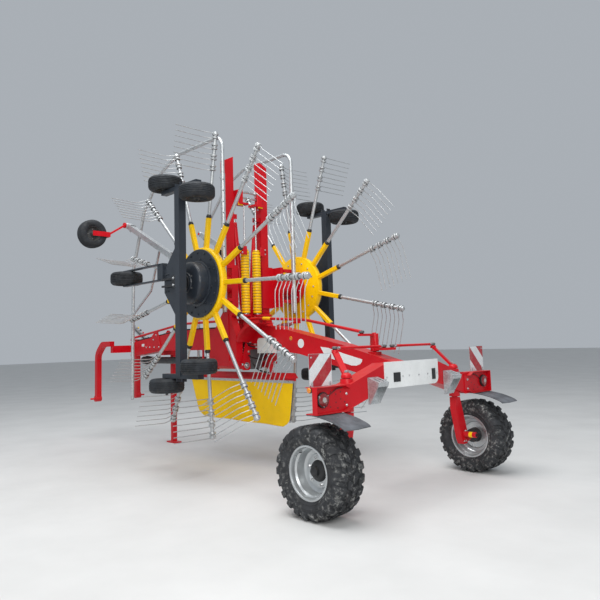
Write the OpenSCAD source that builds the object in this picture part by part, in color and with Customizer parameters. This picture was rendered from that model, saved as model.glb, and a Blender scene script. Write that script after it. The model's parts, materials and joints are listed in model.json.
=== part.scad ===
// Twin rotor hay rake, folded for the road and standing on its parking leg.
// X points forward, Y to the left, Z up from the ground. Lengths are in millimetres.
// The left half is modelled, and the right half is its mirror image about Y = 0.

/* [Main wheels] */
// Distance between the centres of the two main tyres
track_w = 2510; // [2400:10:2600]
// Diameter of the main tyres
tyre_d = 790; // [770:5:810]
// Width of the main tyres
tyre_w = 340; // [310:5:350]
// Diameter of the rim's bead seat
rim_d = 430; // [400:5:450]
// Number of lugs on each side of a main tyre
lug_count = 22; // [20:1:24]
// Height of the lugs above the tread
lug_h = 28; // [22:1:30]
// Width of the lugs
lug_w = 46; // [38:1:48]

/* [Rear axle] */
// Distance of each kingpin from the middle of the machine
kingpin_y = 870; // [850:5:890]
// Diameter of the kingpins
kingpin_d = 60; // [50:2:70]
// Height of the arch's flat top
arch_top_z = 1270; // [1250:5:1290]
// Height of the underside of the arch's ends
arch_end_z = 880; // [870:5:890]
// Front to back depth of the arch
arch_t = 170; // [150:5:180]
// Half the width of the arch's flat top
arch_flat_y = 400; // [380:5:420]
// Outer end of the lamp brackets, from the middle of the machine
bracket_y = 1400; // [1380:5:1410]
// Side of the square warning boards
board_s = 280; // [260:5:282]

/* [Main beam] */
// Width of the main beam
beam_w = 200; // [180:5:210]
// Height of the main beam's top at the lift arms
beam_top_z = 1706; // [1696:2:1716]
// Height of the main beam's underside at the lift arms
beam_low_z = 1418; // [1412:2:1424]
// Place of the main beam's front end
beam_front_x = 5340; // [5320:5:5360]

/* [Headstock] */
// Place of the headstock's upright pivot
head_x = 5450; // [5440:5:5470]
// Place of the lower link pins
hitch_x = 6090; // [6070:5:6120]
// Height of the lower link pins
hitch_z = 650; // [620:5:680]
// Distance between the shoulders of the lower link pins
hitch_w = 825; // [815:5:840]
// Diameter of the lower link pins
hitch_pin_d = 28; // [22:1:36]
// Diameter of the splined drive stub
stub_d = 35; // [35:1:45]

/* [Parking leg] */
// Place of the parking leg
leg_x = 4650; // [4600:10:4700]
// Height of the parking leg's hinge
leg_z = 1380; // [1370:5:1390]
// Side of the parking leg's square tube
leg_s = 70; // [60:2:80]

/* [Lift arms] */
// Distance of each fold pivot from the middle of the machine
fold_y = 200; // [195:1:205]
// Height of the fold pivots
fold_z = 1218; // [1212:1:1224]
// Place of the arm columns along the machine
col_x = 2530; // [2525:1:2535]
// Distance of each arm column from the middle of the machine
col_y = 285; // [282:1:290]
// Side of the square arm columns
col_s = 120; // [110:2:124]
// Height of the top of the arm columns
col_top_z = 3940; // [3930:5:3960]

/* [Rotors] */
// Place of the rotor axles along the machine
rotor_x = 2371; // [2366:1:2376]
// Height of the rotor axles in the folded position
rotor_z = 2228; // [2220:1:2236]
// Number of tine arms on each rotor
arm_count = 13; // [11:1:13]
// Distance of the tine arms' middle plane from the middle of the machine
arm_plane_y = 783; // [780:1:786]
// Radius of the tine arms' tips
tip_r = 1844; // [1820:4:1848]
// Radius at which the square stubs end
stub_r = 800; // [760:5:820]
// Radius of the yellow rotor hub
hub_r = 440; // [420:5:460]
// Radius of the grey rotor disc
disc_r = 415; // [400:5:430]

/* [Tines] */
// Diameter of the tine arm tubes
tube_d = 55; // [48:1:60]
// Diameter of the spring steel tines
tine_d = 10; // [8:1:12]
// Reach of the tines from the tine arm plane
tine_reach = 540; // [500:5:570]
// Radius of the innermost tine
tine_r = 1375; // [1372:1:1385]
// Distance between neighbouring tines
tine_pitch = 64; // [60:1:64]
// Number of tines on each arm
tine_count = 8; // [6:1:8]

/* [Rotor chassis] */
// Place of the upright chassis beam along the machine
chassis_x = 2200; // [2190:2:2206]
// Side of the square chassis beam
chassis_s = 95; // [85:1:100]
// Distance of each bogie from the rotor axle
bogie_dz = 1082; // [1076:1:1086]
// Diameter of the small wheels
wheel_d = 406; // [396:2:410]
// Width of the small wheels
wheel_w = 165; // [150:5:170]
// Place of the rear bogie wheels
bogie_rear_x = 1850; // [1846:1:1856]
// Place of the front bogie wheels
bogie_front_x = 2515; // [2508:1:2520]
// Place of the front sensing wheel
sense_x = 3480; // [3470:1:3490]
// Height of the front sensing wheel in the folded position
sense_z = 2370; // [2360:2:2376]

/* [Jockey wheel] */
// Angle of the jockey boom above the machine's axis
boom_angle = 26.5; // [26:0.1:27]
// Distance of the caster's swivel from the rotor axle
swivel_r = 2379; // [2370:1:2390]
// Side of the square boom
boom_s = 76; // [66:2:80]
// Trail of the caster
trail = 180; // [160:5:190]

/* [Guard hoops] */
// Distance of each guard hoop from the middle of the machine
hoop_y = 578; // [574:1:580]
// Diameter of the guard hoop's tube
hoop_d = 48; // [42:1:52]
// Height of the hoop's top run
hoop_top_z = 4085; // [4070:5:4100]
// Place of the hoop's rear leg
hoop_rear_x = 2225; // [2221:1:2228]
// Place of the foot of the hoop's front leg
hoop_front_x = 4520; // [4515:1:4530]

/* [Swath curtain] */
// Rear end of the curtain bar
bar_rear_x = 1620; // [1600:10:1640]
// Front end of the curtain bar
bar_front_x = 3850; // [3840:5:3870]
// Height of the curtain's top edge
curtain_top_z = 1030; // [1026:2:1034]
// Height of the curtain's bottom edge
curtain_low_z = 480; // [460:10:500]
// Thickness of the curtain
curtain_t = 6; // [4:1:8]

/* [Steering] */
// Place of the bellcrank along the machine
crank_x = 380; // [370:2:390]
// Length of the bellcrank's upper arm
crank_arm = 200; // [190:2:210]
// Place of the two tie rods
tie_x = 200; // [190:2:210]
// Distance of the knuckle arms' eyes from the middle of the machine
tie_y = 800; // [790:2:810]
// Height of the tie rods' seats
tie_z = 1410; // [1406:1:1414]

/* [Hidden] */
left = 1;
right = -1;
// Faces of round parts
fine = 64;
// Clearance of a pin in its bore, and the room between pieces that move past each other
pin_gap = 0.3;
move_gap = 5;
seat_gap = 0.5;

// Overall length runs from the mud flaps to the bosses of the lower link pins
flap_rear_x = -450;
boss_r = 50;
mid_x = (flap_rear_x + hitch_x + boss_r) / 2;

// Rear axle
axle_z = tyre_d / 2;
arch_rear_x = -90;
arch_front_x = arch_rear_x + arch_t;
arch_end_y = kingpin_y + 90;
arch_leg_h = 210;
arch_mid_h = 220;
bracket_y0 = kingpin_y + 60;
bracket_h = 230;
sheet_t = 8;
bracket_rear_x = arch_rear_x - sheet_t;
board_x = -60;
flap_y0 = bracket_y - 320;
housing_low_z = arch_end_z - 25;
housing_top_z = arch_end_z + 270;
spindle_r = 25;
lug_lean = 20;

// Main beam, as heights of its top and underside along the machine
crank_pad_z = 1368;
clevis_low_z = 1341;
clevis_high_z = 1543;
clevis_t = 25;
yoke_low_z = 1400;
yoke_high_z = 1515;
head_pad_z = 1610;
beam_top = [[arch_front_x, 1270], [760, 1450], [1900, beam_top_z - 8], [2100, beam_top_z],
    [3960, beam_top_z], [beam_front_x, clevis_high_z + clevis_t]];
beam_low = [[beam_front_x, clevis_low_z], [4519, beam_low_z], [2900, beam_low_z], [2000, beam_low_z],
    [1425, 1353], [512, 1142], [arch_front_x, 1035]];
beam_side = beam_w / 2;
leg_gap_y = beam_side + 60;

// Fold pivots: the arm's root tube turns between two wings of the main frame
root_r = 45;
root_pin_r = 25;
root_x0 = col_x - 200;
root_x1 = col_x + 400;
wing_t = 25;
col_in_y = col_y - col_s / 2;
col_out_y = col_y + col_s / 2;
col_rear_x = col_x - col_s / 2;
col_front_x = col_x + col_s / 2;
col_slant = 60;

// Lift cylinders, from a lug on the beam to a lug on the column
cyl_x = col_x;
cyl_foot = [60, 1900];
cyl_eye = [col_in_y - 40, 3150];
barrel_r = 35;
barrel_len = 1180;
piston_r = 20;
lug_t = 12;
lip = 15;
pad_gap = 0.3;
spring_r = 47;
spring_rings = 27;
spring_x = col_rear_x - 46;
spring_y = 95;

// Carriage that carries a rotor along its arm
head_z0 = rotor_z - 278;
head_z1 = rotor_z + 272;
cheek_t = 30;
cheek_gap = move_gap;
cap_y1 = col_out_y + move_gap + 35;
plate_y1 = cap_y1 + 45;
flange_y0 = 640;
flange_y1 = 700;
flange_r = 220;
hub_y0 = flange_y1 + move_gap;
hub_y1 = arm_plane_y + 52;
disc_y0 = hub_y1 + move_gap;
disc_y1 = disc_y0 + 25;
drum_r = 250;
drum_y1 = disc_y1 + 135;
axle_r = 90;
boom_y = 648;
boom_root_r = 300;
hoop_sleeve_r = 30;
swivel_x = rotor_x + swivel_r * cos(boom_angle);
swivel_z = rotor_z + swivel_r * sin(boom_angle);

// Rotor chassis
wheel_r = wheel_d / 2;
bore_r = 13;
wheel_pin_r = bore_r - pin_gap;
wheel_y = 1215;
bogie_t = 50;
bogie_step = wheel_w / 2 + bogie_t / 2 + move_gap;
chassis_y0 = wheel_y - chassis_s / 2;
gusset_front_x = rotor_x + 190;

// Tine arms
stub_s = 75;
phase_left = 80.73;
phase_right = 98.71;
collar_r = 36;
clamp_r = 42;
cap_r = 33;

// Angle of an arm, counted from straight back, brought between -180 and 180 degrees
function arm_angle(phase, i) = (phase - i * 360 / arm_count + 1260) % 360 - 180;
// The cam lays the tines of the rearward arms round the rotor and lets the others point outwards
function tine_swing(a) = 90 * min(1, max(0, (68 - abs(a)) / 15));

// Moves the machine so that the origin lies under the middle of its length
module placed() {
    translate([-mid_x, 0, 0]) children();
}

// Draws the left piece as it is, or its mirror image for the right
module on_side(side) {
    placed() if (side > 0) children(); else mirror([0, 1, 0]) children();
}

module both_sides() {
    children();
    mirror([0, 1, 0]) children();
}

// Round rod between two points
module rod(a, b, d, sides = fine) {
    v = b - a;
    translate(a)
        rotate([0, acos(v[2] / norm(v)), atan2(v[1], v[0])])
            cylinder(d = d, h = norm(v), $fn = sides);
}

// Rectangular bar between two points, w wide and h high
module bar(a, b, w, h) {
    v = b - a;
    translate(a)
        rotate([0, -asin(v[2] / norm(v)), atan2(v[1], v[0])])
            translate([0, -w / 2, -h / 2])
                cube([norm(v), w, h]);
}

// Box from its low corner to its high corner
module block(low, high) {
    translate(low) cube(high - low);
}

// Plate with an outline in X and Z, from y0 to y1
module plate_xz(points, y0, y1) {
    translate([0, y1, 0]) rotate([90, 0, 0]) linear_extrude(y1 - y0) polygon(points);
}

// Plate with an outline in Y and Z, from x0 to x1
module plate_yz(points, x0, x1) {
    translate([x0, 0, 0]) rotate([90, 0, 90]) linear_extrude(x1 - x0) polygon(points);
}

// Cylinder along Y
module disc_y(x, z, r, y0, y1) {
    translate([x, y0, z]) rotate([-90, 0, 0]) cylinder(r = r, h = y1 - y0, $fn = fine);
}

// Cylinder along X
module disc_x(y, z, r, x0, x1) {
    translate([x0, y, z]) rotate([0, 90, 0]) cylinder(r = r, h = x1 - x0, $fn = fine);
}

// Cylinder along Z
module disc_z(x, y, r, z0, z1) {
    translate([x, y, z0]) cylinder(r = r, h = z1 - z0, $fn = fine);
}

// Unit vector, turn and cut back of a bend in a tube's path
function unit(v) = v / norm(v);
function bend_turn(p, i) =
    let (a = unit(p[i] - p[i - 1]), b = unit(p[i + 1] - p[i]))
    atan2(a[0] * b[1] - a[1] * b[0], a * b);
function cut_back(p, i, r) = r * tan(abs(bend_turn(p, i)) / 2);

// Points round the bend of radius r at corner i of a path
function bend(p, i, r) =
    let (a = unit(p[i] - p[i - 1]), turn = bend_turn(p, i), way = turn > 0 ? 1 : -1,
        start = p[i] - a * cut_back(p, i, r), out = [a[1], -a[0]] * way * r, steps = ceil(abs(turn) / 12))
    [for (k = [0 : steps]) let (t = turn * k / steps)
        start - out + [out[0] * cos(t) - out[1] * sin(t), out[0] * sin(t) + out[1] * cos(t)]];

// Path of X and Z points with round bends, brought into the plane at y
function round_path(p, r, y) = let (flat = concat([p[0]],
    [for (i = [1 : len(p) - 2]) each bend(p, i, r)], [p[len(p) - 1]]))
    [for (q = flat) [q[0], y, q[1]]];

// Direction of a path at point i
function path_way(p, i) = unit(unit(p[min(i + 1, len(p) - 1)] - p[min(i, len(p) - 2)])
    + unit(p[max(i, 1)] - p[max(i - 1, 0)]));

// Round tube through points. No stretch of the tube may run along up.
module sweep(points, d, up, sides = 16) {
    last = len(points) - 1;
    verts = [for (i = [0 : last], k = [0 : sides - 1])
        let (way = path_way(points, i), side = unit(cross(up, way)), top = cross(way, side),
            t = 360 * k / sides)
        points[i] + d / 2 * (cos(t) * side + sin(t) * top)];
    faces = concat([[for (k = [0 : sides - 1]) k]],
        [[for (k = [sides - 1 : -1 : 0]) last * sides + k]],
        [for (i = [0 : last - 1], k = [0 : sides - 1])
            let (a = i * sides + k, b = i * sides + (k + 1) % sides)
            [a, a + sides, b + sides, b]]);
    polyhedron(verts, faces);
}

// Outline of a strip that runs along a path, h to each side of it, with mitred corners
function path_edge(p, h) = [for (i = [0 : len(p) - 1])
    let (way = path_way(p, i), along = unit(p[max(i, 1)] - p[max(i - 1, 0)]))
    p[i] + [-way[1], way[0]] * h / (way * along)];
function strip(p, h) = let (low = path_edge(p, -h)) concat(path_edge(p, h),
    [for (i = [len(p) - 1 : -1 : 0]) low[i]]);

// Points on a circle round c, from angle a0 to angle a1
function arc(c, r, a0, a1, n = 8) = [for (k = [0 : n])
    let (t = a0 + (a1 - a0) * k / n) c + r * [cos(t), sin(t)]];

// Body turned about Z from the outline of its upper half, which is mirrored below
module turned_both(half, sides) {
    rotate_extrude($fn = sides)
        polygon(concat(half, [for (i = [len(half) - 1 : -1 : 0]) [half[i][0], -half[i][1]]]));
}

// Fixed frame

module main_frame() {
    color("red") placed() {
        difference() {
            union() {
                plate_xz(concat(beam_top, beam_low), -beam_side, beam_side);
                block([crank_x - 50, -50, 1200], [crank_x + 50, 50, crank_pad_z]);
                both_sides() {
                    fold_wing(root_x0 - move_gap - wing_t);
                    fold_wing(root_x1 + move_gap);
                    cylinder_lugs();
                }
                head_clevis();
                block([leg_x - 50, -leg_gap_y, beam_low_z - 70], [leg_x + 50, 0, beam_low_z + 150]);
            }
            disc_z(head_x, 0, root_pin_r + pin_gap, clevis_low_z - 1, clevis_high_z + clevis_t + 1);
        }
        disc_z(crank_x, 0, 20, crank_pad_z - 1, 1570);
        both_sides() {
            disc_x(fold_y, fold_z, root_pin_r, root_x0 - move_gap - 1, root_x1 + move_gap + 1);
            disc_x(cyl_foot[0], cyl_foot[1], 15, cyl_x - barrel_r - 10, cyl_x + barrel_r + 10);
        }
        disc_y(leg_x, leg_z, 20, -leg_gap_y - leg_s - 10, -beam_side);
    }
}

// Wing that holds one end of a fold pivot
module fold_wing(x) {
    plate_yz([[beam_side - 1, beam_top_z - 6], [beam_side + 80, beam_low_z + 142],
        [fold_y + 62, fold_z + 42], [fold_y + 62, fold_z - 38], [fold_y + 40, fold_z - 58],
        [fold_y - 40, fold_z - 58], [fold_y - 60, fold_z - 38], [fold_y - 60, beam_low_z],
        [beam_side - 1, beam_low_z]], x, x + wing_t);
}

// Two lugs on the beam for the foot of a lift cylinder
module cylinder_lugs() {
    for (x = [cyl_x - barrel_r - move_gap - lug_t, cyl_x + barrel_r + move_gap])
        block([x, cyl_foot[0] - 35, beam_top_z - 1], [x + lug_t, cyl_foot[0] + 35, cyl_foot[1] + 30]);
}

// Forked front end of the beam, round the headstock's tube
module head_clevis() {
    for (z = [clevis_low_z, clevis_high_z])
        block([beam_front_x - 1, -75, z], [head_x + 60, 75, z + clevis_t]);
}

module rear_axle_beam() {
    color("red") placed() {
        difference() {
            union() {
                plate_yz([[-arch_end_y, arch_end_z], [-arch_end_y, arch_end_z + arch_leg_h],
                    [-arch_flat_y, arch_top_z], [arch_flat_y, arch_top_z],
                    [arch_end_y, arch_end_z + arch_leg_h], [arch_end_y, arch_end_z],
                    [arch_flat_y - 30, arch_top_z - arch_mid_h],
                    [-arch_flat_y + 30, arch_top_z - arch_mid_h]], arch_rear_x, arch_front_x);
                both_sides() {
                    disc_z(0, kingpin_y, kingpin_d / 2 + 28, housing_low_z, housing_top_z);
                    lamp_bracket();
                }
            }
            both_sides()
                disc_z(0, kingpin_y, kingpin_d / 2 + pin_gap, housing_low_z - 1, housing_top_z + 1);
        }
    }
}

// Folded sheet behind the axle's end that carries the lamp, the board and the flap
module lamp_bracket() {
    z1 = arch_end_z + bracket_h;
    block([bracket_rear_x, bracket_y0, arch_end_z], [arch_rear_x, bracket_y, z1]);
    block([bracket_rear_x, arch_end_y - 1, z1 - sheet_t], [-10, bracket_y, z1]);
    block([bracket_rear_x, arch_end_y - 1, arch_end_z], [-10, bracket_y, arch_end_z + sheet_t]);
}

module tail_panel() {
    top = arch_top_z + 10;
    low = arch_top_z - 240;
    r = 70;
    color("white") placed()
        plate_yz(concat([[440, top]], arc([440 - r, low + r], r, 0, -90),
            arc([r - 440, low + r], r, -90, -180), [[-440, top]]), arch_rear_x - 6, arch_rear_x);
}

module warning_boards() {
    z0 = arch_end_z + bracket_h;
    color("white") placed() both_sides()
        block([board_x, bracket_y - board_s, z0], [board_x + 4, bracket_y, z0 + board_s]);
}

module tail_lamps() {
    color("darkred") placed() both_sides()
        translate([bracket_rear_x, bracket_y - 105, arch_end_z + 120]) rotate([0, -90, 0])
            rotate_extrude($fn = fine)
                polygon([[0, 0], [62, 0], [62, 24], [57, 28], [50, 33], [26, 38], [24, 40], [0, 40]]);
}

module wheel_chocks() {
    x = arch_rear_x;
    sheet = 7;
    color("silver") placed() both_sides() difference() {
        plate_xz([[x, 930], [x, 1130], [x - 30, 1130], [x - 125, 960], [x - 125, 930]], 535, 685);
        plate_xz([[x - sheet, 929], [x - sheet, 1123], [x - 26, 1123], [x - 117, 958], [x - 117, 929]],
            535 + sheet, 685 - sheet);
        for (y = [572, 630])
            block([x - 126, y, 990], [x - sheet - 1, y + 18, 1085]);
    }
}

module mud_flaps() {
    color("dimgray") placed() both_sides()
        plate_xz([[-15, arch_end_z], [-110, arch_end_z], [-300, arch_end_z - 35],
            [flap_rear_x, arch_end_z - 95], [flap_rear_x + 3, arch_end_z - 104],
            [-300, arch_end_z - 44], [-110, arch_end_z - 9], [-15, arch_end_z - 9]],
            flap_y0, bracket_y);
}

module curtain_bar() {
    color("red") placed() {
        plate_yz([[-45, curtain_top_z + 30], [45, curtain_top_z + 30], [0, curtain_top_z + 95]],
            bar_rear_x, bar_front_x);
        block([bar_rear_x, -8, curtain_top_z], [bar_front_x, 8, curtain_top_z + 31]);
        block([2040, -15, curtain_top_z + 60], [2080, 15, beam_low_z]);
        block([3430, -65, curtain_top_z + 20], [3470, 65, curtain_top_z + 31]);
        both_sides()
            block([3430, 55, curtain_top_z + 20], [3470, 65, beam_low_z]);
    }
}

module swath_curtain() {
    corner = 90;
    color("gold") placed()
        plate_xz(concat([[bar_rear_x + 40, curtain_top_z], [bar_front_x - 5, curtain_top_z]],
            arc([3550, curtain_low_z + 15 + corner], corner, -20, -90),
            arc([1850, curtain_low_z + corner], corner, -90, -172)),
            -curtain_t / 2, curtain_t / 2);
}

module driveline() {
    shaft_z = 1270;
    color("dimgray") placed() {
        block([col_x - 150, -115, 1165], [col_x + 90, 115, beam_low_z]);
        disc_y(col_x - 100, 1345, 70, 114, 150);
        disc_x(0, shaft_z, 70, col_x + 89, col_x + 130);
        disc_x(0, shaft_z, 45, col_x + 129, beam_front_x - 110);
        disc_x(0, shaft_z, 60, beam_front_x - 190, beam_front_x - 130);
        disc_x(0, shaft_z, stub_d / 2, beam_front_x - 111, beam_front_x - 35);
    }
}

module control_box() {
    color("white") placed()
        plate_xz(concat([[1830, 1370], [2070, 1370]], arc([2020, 1504], 50, 0, 90),
            arc([1880, 1504], 50, 90, 180)), beam_side, beam_side + 110);
}

module hose_holder() {
    color("silver") placed() {
        bar([5180, -beam_side - 6, 1500], [5800, -beam_side - 6, 1830], 12, 60);
    }
}

// Headstock and parking leg

module headstock() {
    corners = [[head_x + 150, yoke_high_z + 30], [hitch_x - 190, yoke_high_z + 30],
        [hitch_x, yoke_low_z - 20], [hitch_x, hitch_z + 10]];
    leg_path = [for (p = round_path(corners, 160, 0)) [p[0], p[2]]];
    color("red") placed() {
        disc_z(head_x, 0, root_pin_r, clevis_low_z, head_pad_z - 10);
        disc_z(head_x, 0, 55, clevis_low_z + clevis_t + move_gap, clevis_high_z - move_gap);
        block([head_x + 40, -50, yoke_low_z], [head_x + 170, 50, yoke_high_z]);
        block([head_x + 120, -360, yoke_low_z], [head_x + 200, 360, yoke_high_z]);
        block([head_x - 32, -32, head_pad_z - 20], [head_x + 32, 95, head_pad_z]);
        both_sides() {
            plate_xz(strip(leg_path, 42), 320, 400);
            disc_y(hitch_x, hitch_z, boss_r, 315, hitch_w / 2);
            disc_y(hitch_x, hitch_z, hitch_pin_d / 2, hitch_w / 2 - 1, hitch_w / 2 + 78);
        }
    }
}

module parking_leg() {
    y0 = -leg_gap_y - move_gap - leg_s;
    color("red") placed() {
        difference() {
            block([leg_x - leg_s / 2, y0, 19], [leg_x + leg_s / 2, y0 + leg_s, leg_z + 50]);
            disc_y(leg_x, leg_z, 20 + pin_gap, y0 - 1, y0 + leg_s + 1);
        }
        block([leg_x - 120, y0 + leg_s / 2 - 60, 0], [leg_x + 120, y0 + leg_s / 2 + 60, 20]);
    }
}

// Steering

module bellcrank() {
    color("red") placed() difference() {
        union() {
            disc_z(crank_x, 0, 45, crank_pad_z + move_gap, 1560);
            block([tie_x, -30, tie_z - 25], [crank_x, 30, tie_z]);
            block([tie_x - 30, -95, tie_z - 25], [tie_x + 35, 95, tie_z]);
            block([crank_x - 30, 0, 1535], [crank_x + 30, crank_arm + 30, 1560]);
        }
        disc_z(crank_x, 0, 20 + pin_gap, crank_pad_z, 1600);
    }
}

module steering_rod() {
    path = [[crank_x, crank_arm, 1580], [1300, 120, 1745], [2100, 120, 1800], [3900, 120, 1800],
        [head_x, 67, head_pad_z + 20]];
    color("red") placed() {
        disc_z(crank_x, crank_arm, 24, 1560 + seat_gap, 1600);
        sweep(path, 34, [0, 0, 1]);
        disc_z(head_x, 67, 24, head_pad_z + seat_gap, head_pad_z + 40);
    }
}

module tie_rod(side) {
    color("red") on_side(side) {
        disc_z(tie_x, 65, 24, tie_z + seat_gap, tie_z + 30);
        rod([tie_x, 65, tie_z + 16], [tie_x, tie_y, tie_z + 16], 26);
        disc_z(tie_x, tie_y, 24, tie_z + seat_gap, tie_z + 30);
    }
}

module knuckle(side) {
    boss_z = housing_top_z + move_gap;
    low_z = housing_low_z - move_gap - 5;
    color("red") on_side(side) {
        disc_z(0, kingpin_y, kingpin_d / 2, low_z - 10, boss_z + 40);
        translate([0, kingpin_y, boss_z]) rotate_extrude($fn = fine)
            polygon([[0, 0], [kingpin_d / 2 + 20, 0], [kingpin_d / 2 + 20, 22], [kingpin_d / 2 + 12, 38],
                [kingpin_d / 2 - 8, 50], [0, 54]]);
        bar([0, kingpin_y, boss_z + 20], [tie_x, tie_y, tie_z - 13], 60, 24);
        disc_z(tie_x, tie_y, 32, tie_z - 28, tie_z);
        plate_yz([[kingpin_y - 42, low_z], [kingpin_y + 42, low_z], [kingpin_y + 148, axle_z + 90],
            [kingpin_y + 148, axle_z - 62], [kingpin_y + 70, axle_z - 62], [kingpin_y + 40, axle_z],
            [kingpin_y - 42, low_z - 120]], -38, 38);
        disc_y(0, axle_z, 50, kingpin_y + 65, track_w / 2 - tyre_w / 2 - 5);
        disc_y(0, axle_z, spindle_r, kingpin_y + 100, track_w / 2 + 60);
    }
}

// Main wheels

module main_tyre(side) {
    r0 = rim_d / 2 + pin_gap;
    r1 = tyre_d / 2;
    w = tyre_w / 2;
    color([0.08, 0.08, 0.08]) on_side(side) translate([0, track_w / 2, axle_z]) rotate([-90, 0, 0]) {
        turned_both([[r0, 0.76 * w], [r0 + 18, 0.76 * w], [r0 + 45, 0.94 * w], [r1 - 75, 0.955 * w],
            [r1 - 40, 0.82 * w], [r1 - lug_h, 0.4 * w]], 96);
        intersection() {
            turned_both([[r0 + 60, w], [r1 - 43, w], [r1 - 19, 0.94 * w], [r1 - 6, 0.82 * w],
                [r1, 0.62 * w]], 96);
            for (i = [0 : lug_count - 1]) {
                rotate([0, 0, 90 + i * 360 / lug_count]) lug();
                rotate([0, 0, 90 + (i + 0.5) * 360 / lug_count]) mirror([0, 0, 1]) lug();
            }
        }
    }
}

// One leaned lug, from beside the tyre's middle down over its shoulder
module lug() {
    r1 = tyre_d / 2;
    w = tyre_w / 2;
    inner = r1 - lug_h - 12;
    rotate([lug_lean, 0, 0]) rotate([90, 0, 0]) linear_extrude(lug_w, center = true)
        polygon([[inner, 3], [r1 + 20, 3], [r1 + 20, w + 15], [r1 - 92, w + 15], [r1 - 92, 0.9 * w],
            [r1 - 50, 0.8 * w], [inner, 0.35 * w]]);
}

module main_rim(side) {
    r = rim_d / 2;
    w = 0.76 * tyre_w / 2;
    bore = spindle_r + pin_gap;
    flange = [[r, w + pin_gap], [r + 16, w + pin_gap], [r + 16, w + 9], [r - 8, w + 9]];
    color("silver") on_side(side) translate([0, track_w / 2, axle_z]) rotate([-90, 0, 0]) {
        rotate_extrude($fn = 96)
            polygon(concat([for (i = [3 : -1 : 0]) [flange[i][0], -flange[i][1]]], flange,
                [[r - 12, w - 24], [r - 14, 20], [r - 22, -4], [r - 46, -10], [r - 68, -10], [r - 76, 6],
                [92, 6], [86, 18], [70, 30], [44, 40], [40, 68], [30, 77], [0, 78], [0, 64], [bore, 64],
                [bore, -35], [90, -35], [r - 66, -27], [r - 40, -25], [r - 22, -36], [r - 14, -52],
                [r - 12, 24 - w]]));
        for (i = [0 : 5])
            rotate([0, 0, 60 * i + 15]) translate([114, 0, 5]) cylinder(r = 12, h = 24, $fn = 24);
    }
}

// Lift arms

module lift_arm(side) {
    color("red") on_side(side) difference() {
        union() {
            disc_x(fold_y, fold_z, root_r, root_x0, root_x1);
            plate_xz([[root_x0, fold_z], [root_x1, fold_z], [root_x1, fold_z + 280],
                [col_front_x + 10, head_z0 - 50], [col_rear_x, head_z0 - 50],
                [root_x0, fold_z + 380]], col_in_y + 10, col_out_y - 10);
            plate_yz([[col_in_y, fold_z + 60], [col_out_y, fold_z + 60], [col_out_y, col_top_z - col_slant],
                [col_in_y, col_top_z]], col_rear_x, col_front_x);
            block([spring_x - 45, spring_y - 45, 1840], [col_rear_x + 1, col_y + 15, 1865]);
            block([spring_x - 45, spring_y - 45, 3300], [col_x - 15, col_in_y - 25, 3325]);
            block([col_x - 40, col_in_y - 26, 3300], [col_x - 15, col_in_y + 1, 3325]);
            cylinder_eye_lugs();
        }
        disc_x(fold_y, fold_z, root_pin_r + pin_gap, root_x0 - 1, root_x1 + 1);
    }
}

// Two lugs on the column for the eye of a lift cylinder
module cylinder_eye_lugs() {
    for (x = [cyl_x - piston_r - 5 - lug_t, cyl_x + piston_r + 5])
        block([x, cyl_eye[0] - 25, cyl_eye[1] - 30], [x + lug_t, col_in_y + 1, cyl_eye[1] + 30]);
    disc_x(cyl_eye[0], cyl_eye[1], 12, cyl_x - piston_r - 6, cyl_x + piston_r + 6);
}

module relief_spring(side) {
    low = 1865;
    high = 2700;
    step = (high - low) / spring_rings;
    waist = spring_r - 9;
    color("gold") on_side(side) {
        translate([spring_x, spring_y, low]) rotate_extrude($fn = fine)
            polygon(concat([[0, 0]], [for (i = [0 : spring_rings - 1]) each
                [[waist, i * step], [spring_r, (i + 0.3) * step], [spring_r, (i + 0.7) * step]]],
                [[waist, high - low], [0, high - low]]));
        disc_z(spring_x, spring_y, 10, high - 1, 3300);
    }
}

module lift_barrel(side) {
    a = [cyl_x, cyl_foot[0], cyl_foot[1]];
    b = [cyl_x, cyl_eye[0], cyl_eye[1]];
    way = unit(b - a);
    color("dimgray") on_side(side) difference() {
        union() {
            rod(a + way * 35, a + way * barrel_len, barrel_r * 2);
            disc_x(a[1], a[2], 38, cyl_x - barrel_r, cyl_x + barrel_r);
        }
        disc_x(a[1], a[2], 15 + pin_gap, cyl_x - 50, cyl_x + 50);
        rod(a + way * 150, a + way * (barrel_len + 1), 2 * (piston_r + pin_gap));
    }
}

module lift_rod(side) {
    a = [cyl_x, cyl_foot[0], cyl_foot[1]];
    b = [cyl_x, cyl_eye[0], cyl_eye[1]];
    way = unit(b - a);
    color("silver") on_side(side) difference() {
        union() {
            rod(a + way * 160, b - way * 15, piston_r * 2);
            disc_x(b[1], b[2], 24, cyl_x - piston_r, cyl_x + piston_r);
        }
        disc_x(b[1], b[2], 12 + pin_gap, cyl_x - 50, cyl_x + 50);
    }
}

// Rotor carriages and what they carry

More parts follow.
